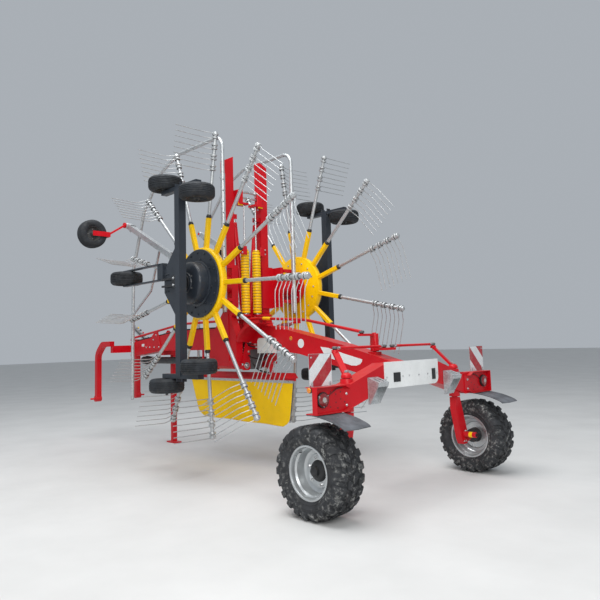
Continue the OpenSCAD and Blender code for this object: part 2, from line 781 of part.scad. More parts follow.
module rotor_head(side) {
    color("red") on_side(side) {
        for (x = [col_rear_x - cheek_gap - cheek_t, col_front_x + cheek_gap])
            block([x, col_in_y - move_gap - 1, head_z0], [x + cheek_t, cap_y1, head_z1]);
        block([col_rear_x - cheek_gap - cheek_t, col_out_y + move_gap, head_z0],
            [col_front_x + cheek_gap + cheek_t, cap_y1, head_z1]);
        for (x = [col_rear_x - cheek_gap - cheek_t, col_front_x - lip])
            block([x, col_in_y - move_gap - 15, head_z0],
                [x + cheek_gap + cheek_t + lip, col_in_y - move_gap, head_z1]);
        slide_pads();
        block([rotor_x - 101, cap_y1 - 1, head_z0 + 10],
            [col_front_x + cheek_gap + cheek_t, plate_y1, head_z1 - 10]);
        disc_y(rotor_x, rotor_z, 110, plate_y1 - 1, flange_y0 + 1);
        disc_y(rotor_x, rotor_z, flange_r, flange_y0, flange_y1);
        disc_y(rotor_x, rotor_z, axle_r, flange_y1 - 1, disc_y0);
        translate([rotor_x, boom_y, rotor_z]) rotate([0, -boom_angle, 0])
            block([150, -48, -48], [boom_root_r, 48, 48]);
        for (z = [rotor_z - 190, rotor_z + 220])
            block([hoop_rear_x + hoop_sleeve_r + seat_gap, plate_y1 - 1, z - 20],
                [rotor_x - 60, hoop_y + 28, z + 20]);
    }
}

// Wear pads at both ends of the carriage, which run on the column's faces
module slide_pads() {
    for (z = [head_z0, head_z1 - 60]) {
        block([col_rear_x - cheek_gap - 1, col_y - 35, z], [col_rear_x - pad_gap, col_y + 35, z + 60]);
        block([col_front_x + pad_gap, col_y - 35, z], [col_front_x + cheek_gap + 1, col_y + 35, z + 60]);
        block([col_x - 35, col_out_y + pad_gap, z], [col_x + 35, col_out_y + move_gap + 1, z + 60]);
    }
}

module guard_hoop(side) {
    path = [[hoop_rear_x, 1880], [hoop_rear_x, hoop_top_z], [3260, hoop_top_z], [3680, 3930],
        [4160, 3450], [hoop_front_x - 40, 2630], [hoop_front_x, 730]];
    color("silver") on_side(side) {
        sweep(round_path(path, 150, hoop_y), hoop_d, [0, 1, 0]);
        sweep([[hoop_rear_x, hoop_y, 1900], [hoop_rear_x, hoop_y, 3600]], 2 * hoop_sleeve_r, [0, 1, 0]);
        plate_xz(strip([[3720, 2860], [3975, 2273], [hoop_front_x - 15, 1950]], 15),
            hoop_y - 12, hoop_y + 12);
        disc_y(3720, 2880, 20, hoop_y - 12, boom_y - boom_s / 2);
    }
}

module chassis(side) {
    color([0.17, 0.2, 0.24]) on_side(side) {
        translate([rotor_x, 0, rotor_z]) rotate([-90, 0, 0]) rotate_extrude($fn = 96)
            polygon([[0, disc_y0], [disc_r - 6, disc_y0], [disc_r, disc_y0 + 6], [disc_r, disc_y1 - 5],
                [disc_r - 5, disc_y1], [drum_r + 22, disc_y1], [drum_r + 22, disc_y1 + 14],
                [drum_r, disc_y1 + 20],
                [drum_r, drum_y1 - 12], [drum_r - 30, drum_y1 + 12], [150, drum_y1 + 16], [140, drum_y1 + 30],
                [110, drum_y1 + 34], [74, drum_y1 + 34], [74, chassis_y0 - 4], [65, chassis_y0 + 10],
                [0, chassis_y0 + 10]]);
        block([chassis_x - chassis_s / 2, chassis_y0, rotor_z - bogie_dz],
            [chassis_x + chassis_s / 2, chassis_y0 + chassis_s, rotor_z + bogie_dz]);
        plate_xz([[chassis_x, rotor_z - 535], [gusset_front_x, rotor_z - 110],
            [gusset_front_x, rotor_z + 150], [chassis_x, rotor_z + 535]],
            chassis_y0 + 2, chassis_y0 + 42);
        for (z = [rotor_z - bogie_dz, rotor_z + bogie_dz])
            bogie(z, z > rotor_z ? 1 : -1);
        sense_fork();
    }
}

// Bogie beam with one wheel pin towards the rotor's axle and one away from it
module bogie(z, out) {
    block([bogie_rear_x - 35, chassis_y0 + 10, z - bogie_t / 2],
        [bogie_front_x + 35, chassis_y0 + chassis_s - 10, z + bogie_t / 2]);
    pin = wheel_w + 2 * move_gap;
    z_in = z - out * bogie_t / 2;
    z_out = z + out * bogie_t / 2;
    disc_z(bogie_rear_x, wheel_y, wheel_pin_r, min(z_in, z_in - out * pin), max(z_in, z_in - out * pin));
    disc_z(bogie_front_x, wheel_y, wheel_pin_r, min(z_out, z_out + out * pin), max(z_out, z_out + out * pin));
}

// Fork in front of the gusset that carries the sensing wheel
module sense_fork() {
    half = wheel_w / 2 + move_gap;
    block([gusset_front_x - 1, wheel_y - 48, sense_z - half - 16],
        [gusset_front_x + 120, wheel_y + 20, sense_z + half + 16]);
    for (z = [sense_z - half - 16, sense_z + half])
        block([gusset_front_x + 60, wheel_y - 30, z], [sense_x + 40, wheel_y + 30, z + 16]);
    disc_z(sense_x, wheel_y, wheel_pin_r, sense_z - half - 1, sense_z + half + 1);
}

module jockey_boom(side) {
    color("silver") on_side(side) translate([rotor_x, boom_y, rotor_z]) rotate([0, -boom_angle, 0])
        difference() {
            union() {
                block([boom_root_r, -boom_s / 2, -boom_s / 2], [swivel_r, boom_s / 2, boom_s / 2]);
                for (r = [boom_root_r + 130, boom_root_r + 720, swivel_r - 140])
                    block([r - 20, -boom_s / 2 - 5, -boom_s / 2 - 5],
                        [r + 20, boom_s / 2 + 5, boom_s / 2 + 5]);
                disc_y(swivel_r, 0, 42, -48, 48);
            }
            disc_y(swivel_r, 0, 20 + pin_gap, -50, 50);
        }
}

module caster_fork(side) {
    half = wheel_w / 2 + move_gap;
    crown_y = wheel_y - wheel_r - 30;
    z = swivel_z - trail;
    color("red") on_side(side) {
        disc_y(swivel_x, swivel_z, 20, boom_y - 50, boom_y + 60);
        disc_y(swivel_x, swivel_z, 40, boom_y + 48 + move_gap, boom_y + 75);
        bar([swivel_x, boom_y + 64, swivel_z], [swivel_x, crown_y + 10, z], 60, 24);
        block([swivel_x - half - 12, crown_y, z - 35], [swivel_x + half + 12, crown_y + 16, z + 35]);
        for (x = [swivel_x - half - 12, swivel_x + half])
            block([x, crown_y, z - 35], [x + 12, wheel_y + 30, z + 35]);
        disc_x(wheel_y, z, wheel_pin_r, swivel_x - half - 1, swivel_x + half + 1);
    }
}

module rotor_hub(side) {
    phase = side > 0 ? phase_left : phase_right;
    bore = axle_r + pin_gap;
    color("gold") on_side(side) {
        translate([rotor_x, 0, rotor_z]) rotate([-90, 0, 0]) rotate_extrude($fn = 96)
            polygon([[bore, hub_y0], [hub_r - 50, hub_y0], [hub_r - 40, hub_y0 + 6], [hub_r - 20, hub_y0 + 6],
                [hub_r, hub_y0 + 26], [hub_r, hub_y1 - 26], [hub_r - 18, hub_y1 - 3], [hub_r - 40, hub_y1],
                [bore, hub_y1]]);
        for (i = [0 : arm_count - 1])
            on_arm(arm_angle(phase, i))
                block([hub_r - 30, -stub_s / 2, -stub_s / 2], [stub_r, stub_s / 2, stub_s / 2]);
    }
}

// Local axes of a tine arm: X along the arm, Y outwards and Z round the rotor
module on_arm(a) {
    translate([rotor_x, arm_plane_y, rotor_z]) rotate([0, 180 + a, 0]) children();
}

module tine_arms(side) {
    phase = side > 0 ? phase_left : phase_right;
    color("silver") on_side(side)
        for (i = [0 : arm_count - 1])
            on_arm(arm_angle(phase, i)) tine_arm(tine_swing(arm_angle(phase, i)));
}

module tine_arm(swing) {
    rod([stub_r, 0, 0], [stub_r + 30, 0, 0], 2 * collar_r);
    rod([stub_r + 29, 0, 0], [tip_r - 29, 0, 0], tube_d);
    rod([tip_r - 30, 0, 0], [tip_r, 0, 0], 2 * cap_r);
    for (j = [0 : 2 : tine_count - 2])
        translate([tine_r + (j + 0.5) * tine_pitch, 0, 0]) rotate([swing, 0, 0]) double_tine();
}

// Clamp with a coil and a tine on each side of it. The coils stand as ribbed drums round the tube.
module double_tine() {
    coil_r = clamp_r - 1;
    groove_r = clamp_r - 5;
    end = tine_pitch / 2 + 12;
    half = [[0, end], [clamp_r - 3, end], [clamp_r - 3, end - 8], [groove_r, end - 10], [coil_r, end - 13],
        [coil_r, end - 19], [groove_r, end - 22], [coil_r, end - 25], [coil_r, end - 31],
        [groove_r, end - 35], [clamp_r, 9]];
    rotate([0, 90, 0]) turned_both(half, 32);
    for (x = [-tine_pitch / 2, tine_pitch / 2]) {
        rod([x, clamp_r - 8, 0], [x, 150, -46], tine_d, 6);
        rod([x, 147, -46], [x, tine_reach, -30], tine_d, 6);
    }
}

// Small wheels

// Tyre and hub turned about Z
module small_wheel() {
    w = wheel_w / 2;
    r = wheel_r;
    turned_both([[bore_r, w], [34, w], [38, 24], [60, 12], [86, 8], [96, 30], [100, w - 26], [110, w - 16],
        [114, w - 8], [134, w], [158, w], [r - 22, w - 8], [r - 8, w - 24], [r, w - 40], [r, 34],
        [r - 7, 32], [r - 7, 26], [r, 24], [r, 6], [r - 7, 4]]);
}

// Bogie wheels: 1 upper rear, 2 upper front, 3 lower rear, 4 lower front
module bogie_wheel(side, number) {
    up = number <= 2 ? 1 : -1;
    out = number % 2 == 0 ? 1 : -1;
    x = number % 2 == 0 ? bogie_front_x : bogie_rear_x;
    color([0.1, 0.1, 0.1]) on_side(side)
        translate([x, wheel_y, rotor_z + up * (bogie_dz + out * bogie_step)]) small_wheel();
}

module sense_wheel(side) {
    color([0.1, 0.1, 0.1]) on_side(side) translate([sense_x, wheel_y, sense_z]) small_wheel();
}

module jockey_wheel(side) {
    color([0.1, 0.1, 0.1]) on_side(side)
        translate([swivel_x, wheel_y, swivel_z - trail]) rotate([0, 90, 0]) small_wheel();
}

main_frame();
rear_axle_beam();
tail_panel();
warning_boards();
tail_lamps();
wheel_chocks();
mud_flaps();
curtain_bar();
swath_curtain();
driveline();
control_box();
hose_holder();
headstock();
parking_leg();
bellcrank();
steering_rod();
tie_rod(left);  // tie_rod_left
tie_rod(right);  // tie_rod_right
knuckle(left);  // knuckle_left
knuckle(right);  // knuckle_right
main_tyre(left);  // main_tyre_left
main_tyre(right);  // main_tyre_right
main_rim(left);  // main_rim_left
main_rim(right);  // main_rim_right
lift_arm(left);  // lift_arm_left
lift_arm(right);  // lift_arm_right
relief_spring(left);  // relief_spring_left
relief_spring(right);  // relief_spring_right
lift_barrel(left);  // lift_barrel_left
lift_barrel(right);  // lift_barrel_right
lift_rod(left);  // lift_rod_left
lift_rod(right);  // lift_rod_right
rotor_head(left);  // rotor_head_left
rotor_head(right);  // rotor_head_right
guard_hoop(left);  // guard_hoop_left
guard_hoop(right);  // guard_hoop_right
chassis(left);  // chassis_left
chassis(right);  // chassis_right
jockey_boom(left);  // jockey_boom_left
jockey_boom(right);  // jockey_boom_right
caster_fork(left);  // caster_fork_left
caster_fork(right);  // caster_fork_right
rotor_hub(left);  // rotor_hub_left
rotor_hub(right);  // rotor_hub_right
tine_arms(left);  // tine_arms_left
tine_arms(right);  // tine_arms_right
bogie_wheel(left, 1);  // bogie_wheel_left_1
bogie_wheel(left, 2);  // bogie_wheel_left_2
bogie_wheel(left, 3);  // bogie_wheel_left_3
bogie_wheel(left, 4);  // bogie_wheel_left_4
bogie_wheel(right, 1);  // bogie_wheel_right_1
bogie_wheel(right, 2);  // bogie_wheel_right_2
bogie_wheel(right, 3);  // bogie_wheel_right_3
bogie_wheel(right, 4);  // bogie_wheel_right_4
sense_wheel(left);  // sense_wheel_left
sense_wheel(right);  // sense_wheel_right
jockey_wheel(left);  // jockey_wheel_left
jockey_wheel(right);  // jockey_wheel_right
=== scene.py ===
import json
from math import copysign, cos, pi, radians, sin, tan

import bmesh
import bpy
from mathutils import Matrix, Vector


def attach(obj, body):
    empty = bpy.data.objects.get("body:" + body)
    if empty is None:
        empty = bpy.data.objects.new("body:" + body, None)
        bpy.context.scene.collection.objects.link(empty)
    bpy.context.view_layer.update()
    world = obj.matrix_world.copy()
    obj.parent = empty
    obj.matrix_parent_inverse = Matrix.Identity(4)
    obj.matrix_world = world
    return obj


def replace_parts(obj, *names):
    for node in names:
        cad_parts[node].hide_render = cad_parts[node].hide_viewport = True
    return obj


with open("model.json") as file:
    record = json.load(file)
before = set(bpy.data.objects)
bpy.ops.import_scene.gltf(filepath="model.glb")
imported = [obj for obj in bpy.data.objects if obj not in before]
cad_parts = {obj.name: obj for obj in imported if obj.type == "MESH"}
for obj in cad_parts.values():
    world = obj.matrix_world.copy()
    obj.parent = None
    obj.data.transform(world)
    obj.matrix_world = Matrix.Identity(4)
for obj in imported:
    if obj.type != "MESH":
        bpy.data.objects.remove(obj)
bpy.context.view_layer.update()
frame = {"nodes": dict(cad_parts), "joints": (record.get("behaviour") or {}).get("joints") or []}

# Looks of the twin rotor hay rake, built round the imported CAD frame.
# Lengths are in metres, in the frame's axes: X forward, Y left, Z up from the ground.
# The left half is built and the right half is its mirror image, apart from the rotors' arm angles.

JOINTS = {joint["name"]: joint for joint in frame["joints"]}
NODES = frame["nodes"]


def joint_at(name):
    return Vector(JOINTS[name]["pos_m"])


AXLE_X = joint_at("steer_left").x
ROTOR = joint_at("rotor_spin_left")
# Where the axis of the rotors crosses the middle plane
ROTOR_AXIS = Vector((ROTOR.x, 0, ROTOR.z))
X_WAY, Y_WAY = (1, 0, 0), (0, 1, 0)


def at(x, y, z):
    """A point whose x is counted forward from the rear axle."""
    return Vector((x + AXLE_X, y, z))


def around(centre, radius, count, turn=0.0, across=0.0):
    """Evenly spaced points on a circle about a Y axis through centre, moved across along it."""
    angles = [2 * pi * i / count + turn for i in range(count)]
    return [centre + Vector((radius * cos(a), across, radius * sin(a))) for a in angles]


# Materials


class Graph:
    """A material and short calls that add nodes to it."""

    def __init__(self, name):
        self.material = bpy.data.materials.new(name)
        self.material.use_nodes = True
        self.tree = self.material.node_tree
        self.shader = self.tree.nodes["Principled BSDF"]
        self.place = self.add("ShaderNodeTexCoord").outputs["Object"]

    def add(self, kind, **settings):
        node = self.tree.nodes.new(kind)
        for key, value in settings.items():
            setattr(node, key, value)
        return node

    def plug(self, value, socket):
        if isinstance(value, bpy.types.NodeSocket):
            self.tree.links.new(value, socket)
        else:
            socket.default_value = value

    def tune(self, node, **values):
        """Sets a node's inputs. An underscore in a name stands for a space."""
        for key, value in values.items():
            node.inputs[key.replace("_", " ")].default_value = value

    def maths(self, operation, a, b=0.0):
        node = self.add("ShaderNodeMath", operation=operation)
        self.plug(a, node.inputs[0])
        self.plug(b, node.inputs[1])
        return node.outputs[0]

    def noise(self, scale, detail=4.0, roughness=0.55, stretch=None):
        node = self.add("ShaderNodeTexNoise")
        source = self.place
        if stretch:
            mapping = self.add("ShaderNodeMapping")
            self.tune(mapping, Scale=stretch)
            self.plug(source, mapping.inputs["Vector"])
            source = mapping.outputs[0]
        self.plug(source, node.inputs["Vector"])
        self.tune(node, Scale=scale, Detail=detail, Roughness=roughness)
        return node.outputs["Fac"]

    def cells(self, scale, feature="F1", output="Distance"):
        node = self.add("ShaderNodeTexVoronoi", feature=feature)
        self.plug(self.place, node.inputs["Vector"])
        self.tune(node, Scale=scale)
        return node.outputs[output]

    def span(self, value, low, high, to_low=0.0, to_high=1.0):
        """Maps low..high of a value to to_low..to_high, clamped."""
        node = self.add("ShaderNodeMapRange")
        self.plug(value, node.inputs["Value"])
        for key, number in zip(("From Min", "From Max", "To Min", "To Max"), (low, high, to_low, to_high)):
            node.inputs[key].default_value = number
        return node.outputs[0]

    def mix(self, factor, a, b):
        node = self.add("ShaderNodeMix", data_type="RGBA")
        self.plug(factor, node.inputs["Factor"])
        for colour, key in ((a, "A"), (b, "B")):
            socket = [s for s in node.inputs if s.name == key and s.type == "RGBA"][0]
            self.plug(colour if isinstance(colour, bpy.types.NodeSocket) else (*colour[:3], 1.0), socket)
        return [s for s in node.outputs if s.type == "RGBA"][0]

    def axis(self, index, source=None):
        node = self.add("ShaderNodeSeparateXYZ")
        self.plug(source or self.place, node.inputs[0])
        return node.outputs[index]

    def upward(self):
        """1 on faces that look up, 0 on walls and undersides."""
        normal = self.add("ShaderNodeNewGeometry").outputs["Normal"]
        return self.span(self.axis(2, normal), 0.3, 1.0)

    def bump(self, height, strength, distance):
        node = self.add("ShaderNodeBump")
        self.tune(node, Strength=strength, Distance=distance)
        self.plug(height, node.inputs["Height"])
        self.tree.links.new(node.outputs[0], self.shader.inputs["Normal"])

    def finish(self, colour, roughness, metallic=0.0, coat=0.0, coat_roughness=0.1):
        self.plug(colour, self.shader.inputs["Base Color"])
        self.plug(roughness, self.shader.inputs["Roughness"])
        self.tune(self.shader, Metallic=metallic, Coat_Weight=coat, Coat_Roughness=coat_roughness)
        return self.material


DUST = (0.36, 0.31, 0.24)


def shade(colour, factor):
    return tuple(channel * factor for channel in colour[:3])


def paint(name, colour, roughness=0.32, dust=0.3, coat=0.3, chips=0.0, metallic=0.0):
    """Sprayed paint: slight drift of tone, an uneven sheen, orange peel, and dust on what looks up."""
    g = Graph(name)
    tone = g.mix(g.span(g.noise(2.3), 0.3, 0.7), shade(colour, 0.86), shade(colour, 1.08))
    tone = g.mix(g.span(g.noise(38.0, 6.0), 0.56, 0.74, 0.0, 0.22), tone, shade(colour, 0.6))
    film = g.maths("MULTIPLY", g.upward(), g.span(g.noise(9.0, 8.0, 0.65), 0.38, 0.72, 0.1, dust))
    low = g.span(g.axis(2), 1.3, 0.2, 0.0, 0.35 * dust)
    grime = g.maths("MULTIPLY", low, g.span(g.noise(14.0, 8.0), 0.42, 0.66))
    tone = g.mix(g.maths("ADD", film, grime), tone, DUST)
    if chips:
        bare = g.maths("MULTIPLY", g.span(g.noise(70.0, 2.0), 0.69, 0.72), g.span(g.noise(5.0), 0.5, 0.6))
        tone = g.mix(g.maths("MULTIPLY", bare, chips), tone, (0.12, 0.09, 0.07))
    sheen = g.span(g.noise(11.0, 6.0), 0.3, 0.7, roughness - 0.07, roughness + 0.16)
    g.bump(g.noise(260.0, 2.0), 0.06, 0.002)
    g.tune(g.shader, Specular_IOR_Level=0.32)
    return g.finish(tone, sheen, metallic, coat)


def galvanised(name, colour=(0.56, 0.585, 0.6), spangle=85.0):
    """Hot dip zinc: flakes of differing grey, white bloom and a dull sheen."""
    g = Graph(name)
    flakes = g.cells(spangle, output="Color")
    grey = g.span(g.axis(0, flakes), 0.0, 1.0)
    tone = g.mix(grey, shade(colour, 0.8), shade(colour, 1.12))
    tone = g.mix(g.span(g.noise(6.0, 8.0, 0.7), 0.5, 0.74, 0.0, 0.5), tone, (0.66, 0.67, 0.66))
    tone = g.mix(g.span(g.noise(19.0, 6.0), 0.62, 0.76, 0.0, 0.4), tone, (0.3, 0.29, 0.26))
    sheen = g.span(grey, 0.0, 1.0, 0.36, 0.56)
    g.bump(g.noise(120.0, 4.0), 0.1, 0.002)
    return g.finish(tone, sheen, metallic=0.72)


def bright_steel(name, colour=(0.62, 0.63, 0.64), roughness=0.2):
    g = Graph(name)
    lines = g.noise(30.0, 8.0, 0.6, stretch=(1.0, 1.0, 14.0))
    tone = g.mix(g.span(lines, 0.35, 0.65), shade(colour, 0.82), shade(colour, 1.1))
    tone = g.mix(g.span(g.noise(9.0, 6.0), 0.62, 0.78, 0.0, 0.5), tone, (0.2, 0.15, 0.11))
    sheen = g.span(g.noise(25.0, 6.0), 0.3, 0.7, roughness, roughness + 0.2)
    g.bump(lines, 0.05, 0.001)
    return g.finish(tone, sheen, metallic=0.95)


def rubber(name, colour=(0.022, 0.023, 0.025), mud=0.5, mud_colour=(0.33, 0.3, 0.25)):
    """Tyre rubber with grey bloom and pale mud dried in its grooves and streaks."""
    g = Graph(name)
    tone = g.mix(g.span(g.noise(7.0, 8.0), 0.35, 0.7), colour, shade(colour, 2.4))
    streaks = g.span(g.noise(24.0, 10.0, 0.7), 0.51, 0.64, 0.0, mud)
    patches = g.span(g.noise(4.5, 6.0), 0.4, 0.62)
    tone = g.mix(g.maths("MULTIPLY", streaks, patches), tone, mud_colour)
    sheen = g.span(g.noise(18.0, 6.0), 0.3, 0.7, 0.62, 0.9)
    g.bump(g.noise(95.0, 8.0, 0.65), 0.28, 0.003)
    return g.finish(tone, sheen)


def moulded(name, colour, roughness=0.45, dust=0.12):
    g = Graph(name)
    tone = g.mix(g.span(g.noise(5.0), 0.3, 0.7), shade(colour, 0.88), shade(colour, 1.1))
    tone = g.mix(g.maths("MULTIPLY", g.upward(), g.span(g.noise(12.0, 8.0), 0.4, 0.7, 0.0, dust)), tone, DUST)
    g.bump(g.noise(420.0, 3.0), 0.12, 0.001)
    return g.finish(tone, g.span(g.noise(30.0, 4.0), 0.3, 0.7, roughness - 0.06, roughness + 0.1))


def lens(name, colour):
    """A coloured lamp lens with fine moulded prisms, each prism coloured lighter in its middle and darker at
    its rim as painted glints and shade.
    """
    g = Graph(name)
    prisms = g.cells(230.0)
    # Painted glints and shade: each prism is lighter in its middle and darker at its rim.
    tone = g.mix(g.span(prisms, 0.0, 0.6), shade(colour, 1.3), shade(colour, 0.6))
    g.bump(prisms, 0.35, 0.002)
    return g.finish(tone, g.span(g.noise(20.0), 0.3, 0.7, 0.1, 0.2), coat=1.0, coat_roughness=0.04)


def reflective(name, colour):
    """Retroreflective sheet: a fine honeycomb under a clear film."""
    g = Graph(name)
    comb = g.span(g.cells(310.0, "DISTANCE_TO_EDGE"), 0.0, 0.12)
    tone = g.mix(comb, shade(colour, 0.72), colour)
    tone = g.mix(g.span(g.noise(11.0, 8.0), 0.5, 0.75, 0.0, 0.3), tone, DUST)
    g.bump(comb, 0.05, 0.0006)
    return g.finish(tone, g.span(g.noise(16.0), 0.3, 0.7, 0.22, 0.36), coat=0.6)


def woven_sheet(name, colour):
    """Coated tarpaulin: a fine weave under the coating, soft creases and a few splashes."""
    g = Graph(name)
    weave = [g.add("ShaderNodeTexWave", bands_direction=way) for way in ("X", "Z")]
    for wave in weave:
        g.plug(g.place, wave.inputs["Vector"])
        g.tune(wave, Scale=210.0, Distortion=0.4)
    threads = g.maths("MULTIPLY", weave[0].outputs["Fac"], weave[1].outputs["Fac"])
    tone = g.mix(g.span(g.noise(3.0, 4.0), 0.3, 0.7), shade(colour, 0.9), shade(colour, 1.05))
    tone = g.mix(g.maths("MULTIPLY", threads, 0.12), tone, shade(colour, 0.6))
    spots = g.maths("MULTIPLY", g.span(g.noise(60.0, 3.0), 0.64, 0.7), g.span(g.noise(3.4), 0.45, 0.62))
    low = g.span(g.axis(2), 0.85, 0.45, 0.15, 0.7)
    tone = g.mix(g.maths("MULTIPLY", spots, low), tone, (0.25, 0.18, 0.08))
    g.bump(g.maths("ADD", threads, g.noise(14.0, 4.0)), 0.12, 0.003)
    material = g.finish(tone, g.span(g.noise(8.0), 0.3, 0.7, 0.42, 0.6))
    g.tune(g.shader, Specular_IOR_Level=0.22)
    return material


RED = paint("red_paint", (0.58, 0.002, 0.01), roughness=0.36, dust=0.06, coat=0.06, chips=0.4)
YELLOW = paint("yellow_paint", (0.98, 0.6, 0.0), roughness=0.36, dust=0.08, coat=0.06, chips=0.4)
SLATE = paint("slate_paint", (0.026, 0.033, 0.044), roughness=0.34, dust=0.16, coat=0.25)
WHITE = paint("white_paint", (0.8, 0.82, 0.82), dust=0.3, coat=0.2)
SILVER = paint("silver_paint", (0.56, 0.585, 0.6), roughness=0.3, dust=0.2, coat=0.2, metallic=0.75)
ZINC = galvanised("zinc")
TINE_ZINC = galvanised("tine_zinc", (0.54, 0.56, 0.57), 150.0)
STEEL = bright_steel("bright_steel")
BLACK = moulded("black_plastic", (0.018, 0.019, 0.021))
HOSE = moulded("black_hose", (0.014, 0.015, 0.016), 0.38)
GREY = moulded("grey_casting", (0.1, 0.105, 0.11), 0.5, 0.3)
PALE = moulded("pale_plastic", (0.62, 0.63, 0.61), 0.42, 0.3)
DUSTY = paint("dusty_hub", (0.075, 0.078, 0.08), 0.6, dust=0.5, coat=0.0)
TYRE = rubber("main_tyre_rubber", (0.014, 0.015, 0.017), mud=0.85, mud_colour=(0.36, 0.36, 0.345))
SMALL_TYRE = rubber("small_tyre_rubber", (0.01, 0.012, 0.015), mud=0.08)
FLAP = rubber("flap_rubber", (0.058, 0.062, 0.07), mud=0.4, mud_colour=(0.24, 0.25, 0.27))
RED_LENS = lens("red_lens", (0.3, 0.004, 0.006))
AMBER_LENS = lens("amber_lens", (0.95, 0.3, 0.01))
CLEAR_LENS = lens("clear_lens", (0.55, 0.52, 0.5))
BOARD_WHITE = reflective("board_white", (0.74, 0.78, 0.8))
BOARD_RED = reflective("board_red", (0.42, 0.01, 0.02))
CURTAIN = woven_sheet("curtain_sheet", (1.0, 0.62, 0.0))

# Shapes


def turn_to(axis):
    """Rotation that brings Z to an axis."""
    return Vector(axis).normalized().to_track_quat("Z", "Y").to_matrix().to_4x4()


def both_halves(half):
    """A profile followed by its mirror image. A point on the mirror's plane is left out the second time."""
    return [(radius, -along) for radius, along in half] + [pair for pair in half[::-1] if pair[1]]


def new_object(name, data):
    obj = bpy.data.objects.new(name, data)
    bpy.context.scene.collection.objects.link(obj)
    return obj


class Shape:
    """Collects the faces of one piece, each with its material."""

    def __init__(self):
        self.bm = bmesh.new()
        self.materials = []

    def keep(self, faces, material, smooth=False):
        if material not in self.materials:
            self.materials.append(material)
        for face in faces:
            face.material_index = self.materials.index(material)
            face.smooth = smooth

    def rings(self, rings, material, closed=False, smooth=True, caps=False):
        """Skins rings of points. A ring of one point is an apex. With closed, the last joins the first."""
        made = [[self.bm.verts.new(p) for p in ring] for ring in rings]
        faces = []
        pairs = list(zip(made, made[1:])) + ([(made[-1], made[0])] if closed else [])
        for a, b in pairs:
            n = max(len(a), len(b))
            for i in range(n):
                j = (i + 1) % n
                corners = [a[i % len(a)], a[j % len(a)], b[j % len(b)], b[i % len(b)]]
                corners = [v for k, v in enumerate(corners) if v not in corners[:k]]
                if len(corners) > 2:
                    faces.append(self.bm.faces.new(corners))
        self.keep(faces, material, smooth)
        if caps:
            ends = [self.bm.faces.new(made[0][::-1]), self.bm.faces.new(made[-1])]
            self.keep(ends, material)

    def turned(self, profile, place, material, axis=(0, 0, 1), sides=32, closed=False, smooth=True):
        """Turns (radius, distance along the axis) pairs about an axis through place."""
        matrix = Matrix.Translation(place) @ turn_to(axis)
        rings = []
        for radius, along in profile:
            count = 1 if radius < 1e-6 else sides
            rings.append([
                matrix @ Vector((radius * cos(a), radius * sin(a), along))
                for a in (2 * pi * i / sides for i in range(count))
            ])
        self.rings(rings, material, closed=closed, smooth=smooth)

    def drum(self, place, axis, radius, height, material, sides):
        """A plain cylinder or hexagon that stands on place."""
        profile = [(0, 0), (radius, 0), (radius, height), (0, height)]
        self.turned(profile, place, material, axis, sides, smooth=False)

    def disc(self, a, b, radius, material, sides=24, rim=0.12):
        """A cylinder from a to b with softened rims. rim is a share of the shorter of height and radius."""
        a, b = Vector(a), Vector(b)
        height = (b - a).length
        r = rim * min(height, radius)
        self.turned(
            [(0, 0), (radius - r, 0), (radius, r), (radius, height - r), (radius - r, height), (0, height)],
            a, material, b - a, sides, smooth=False)

    def tube(self, points, radius, material, sides=8, caps=True, closed=False):
        """Round tube through points, with no twist between its rings."""
        points = [Vector(p) for p in points]
        count = len(points)
        rings, side = [], None
        for i, p in enumerate(points):
            before = points[i - 1] if i or closed else p
            after = points[(i + 1) % count] if i < count - 1 or closed else p
            way = (after - before).normalized()
            if side is None:
                side = way.orthogonal().normalized()
            side = (side - way * side.dot(way)).normalized()
            other = way.cross(side)
            r = radius[i] if isinstance(radius, (list, tuple)) else radius
            rings.append([
                p + r * (cos(t) * side + sin(t) * other)
                for t in (2 * pi * k / sides for k in range(sides))
            ])
        self.rings(rings, material, closed=closed, caps=caps and not closed)

    def prism(self, outline, depth, material, matrix=Matrix.Identity(4), chamfer=0.0):
        """An outline in local X and Y, raised along Z, with its far rim chamfered."""
        flat = [Vector(p) for p in outline]
        middle = sum(flat, Vector((0, 0))) / len(flat)
        layers = [(0.0, 0.0), (depth - chamfer, 0.0)] + ([(depth, chamfer)] if chamfer else [])
        rings = [[matrix @ Vector((*(p - (p - middle).normalized() * inset), z)) for p in flat]
                 for z, inset in layers]
        self.rings(rings, material, smooth=False, caps=True)

    def box(self, low, high, material, chamfer=0.0):
        """Box between two corners, with chamfered upright edges."""
        low, high = Vector(map(min, low, high)), Vector(map(max, low, high))
        size, c = high - low, chamfer
        outline = [(0, 0), (size.x, 0), (size.x, size.y), (0, size.y)] if not c else [
            (c, 0), (size.x - c, 0), (size.x, c), (size.x, size.y - c),
            (size.x - c, size.y), (c, size.y), (0, size.y - c), (0, c)]
        self.prism(outline, size.z, material, Matrix.Translation(low), min(c, size.z / 3))

    def beam(self, a, b, width, height, material, chamfer=0.004, up=(0, 0, 1)):
        """Square tube from a to b with chamfered long edges."""
        a, b = Vector(a), Vector(b)
        way = (b - a).normalized()
        side = Vector(up).cross(way).normalized()
        top = way.cross(side)
        w, h, c = width / 2, height / 2, chamfer
        half = [(w - c, -h), (w, c - h), (w, h - c), (w - c, h)]
        corners = half + [(-u, -v) for u, v in half]
        rings = [[p + side * u + top * v for u, v in corners] for p in (a, b)]
        self.rings(rings, material, smooth=False, caps=True)

    def bolt(self, place, axis, radius, material=STEEL, washer=True):
        """Hexagonal head on a washer, standing on place."""
        place, axis = Vector(place), Vector(axis).normalized()
        start = place
        if washer:
            start = place + axis * radius * 0.25
            self.drum(place, axis, radius * 1.45, radius * 0.25, material, 16)
        self.turned([(0, 0), (radius, 0), (radius, radius * 0.75), (radius * 0.82, radius * 0.95),
                     (0, radius * 0.95)], start, material, axis, 6, smooth=False)

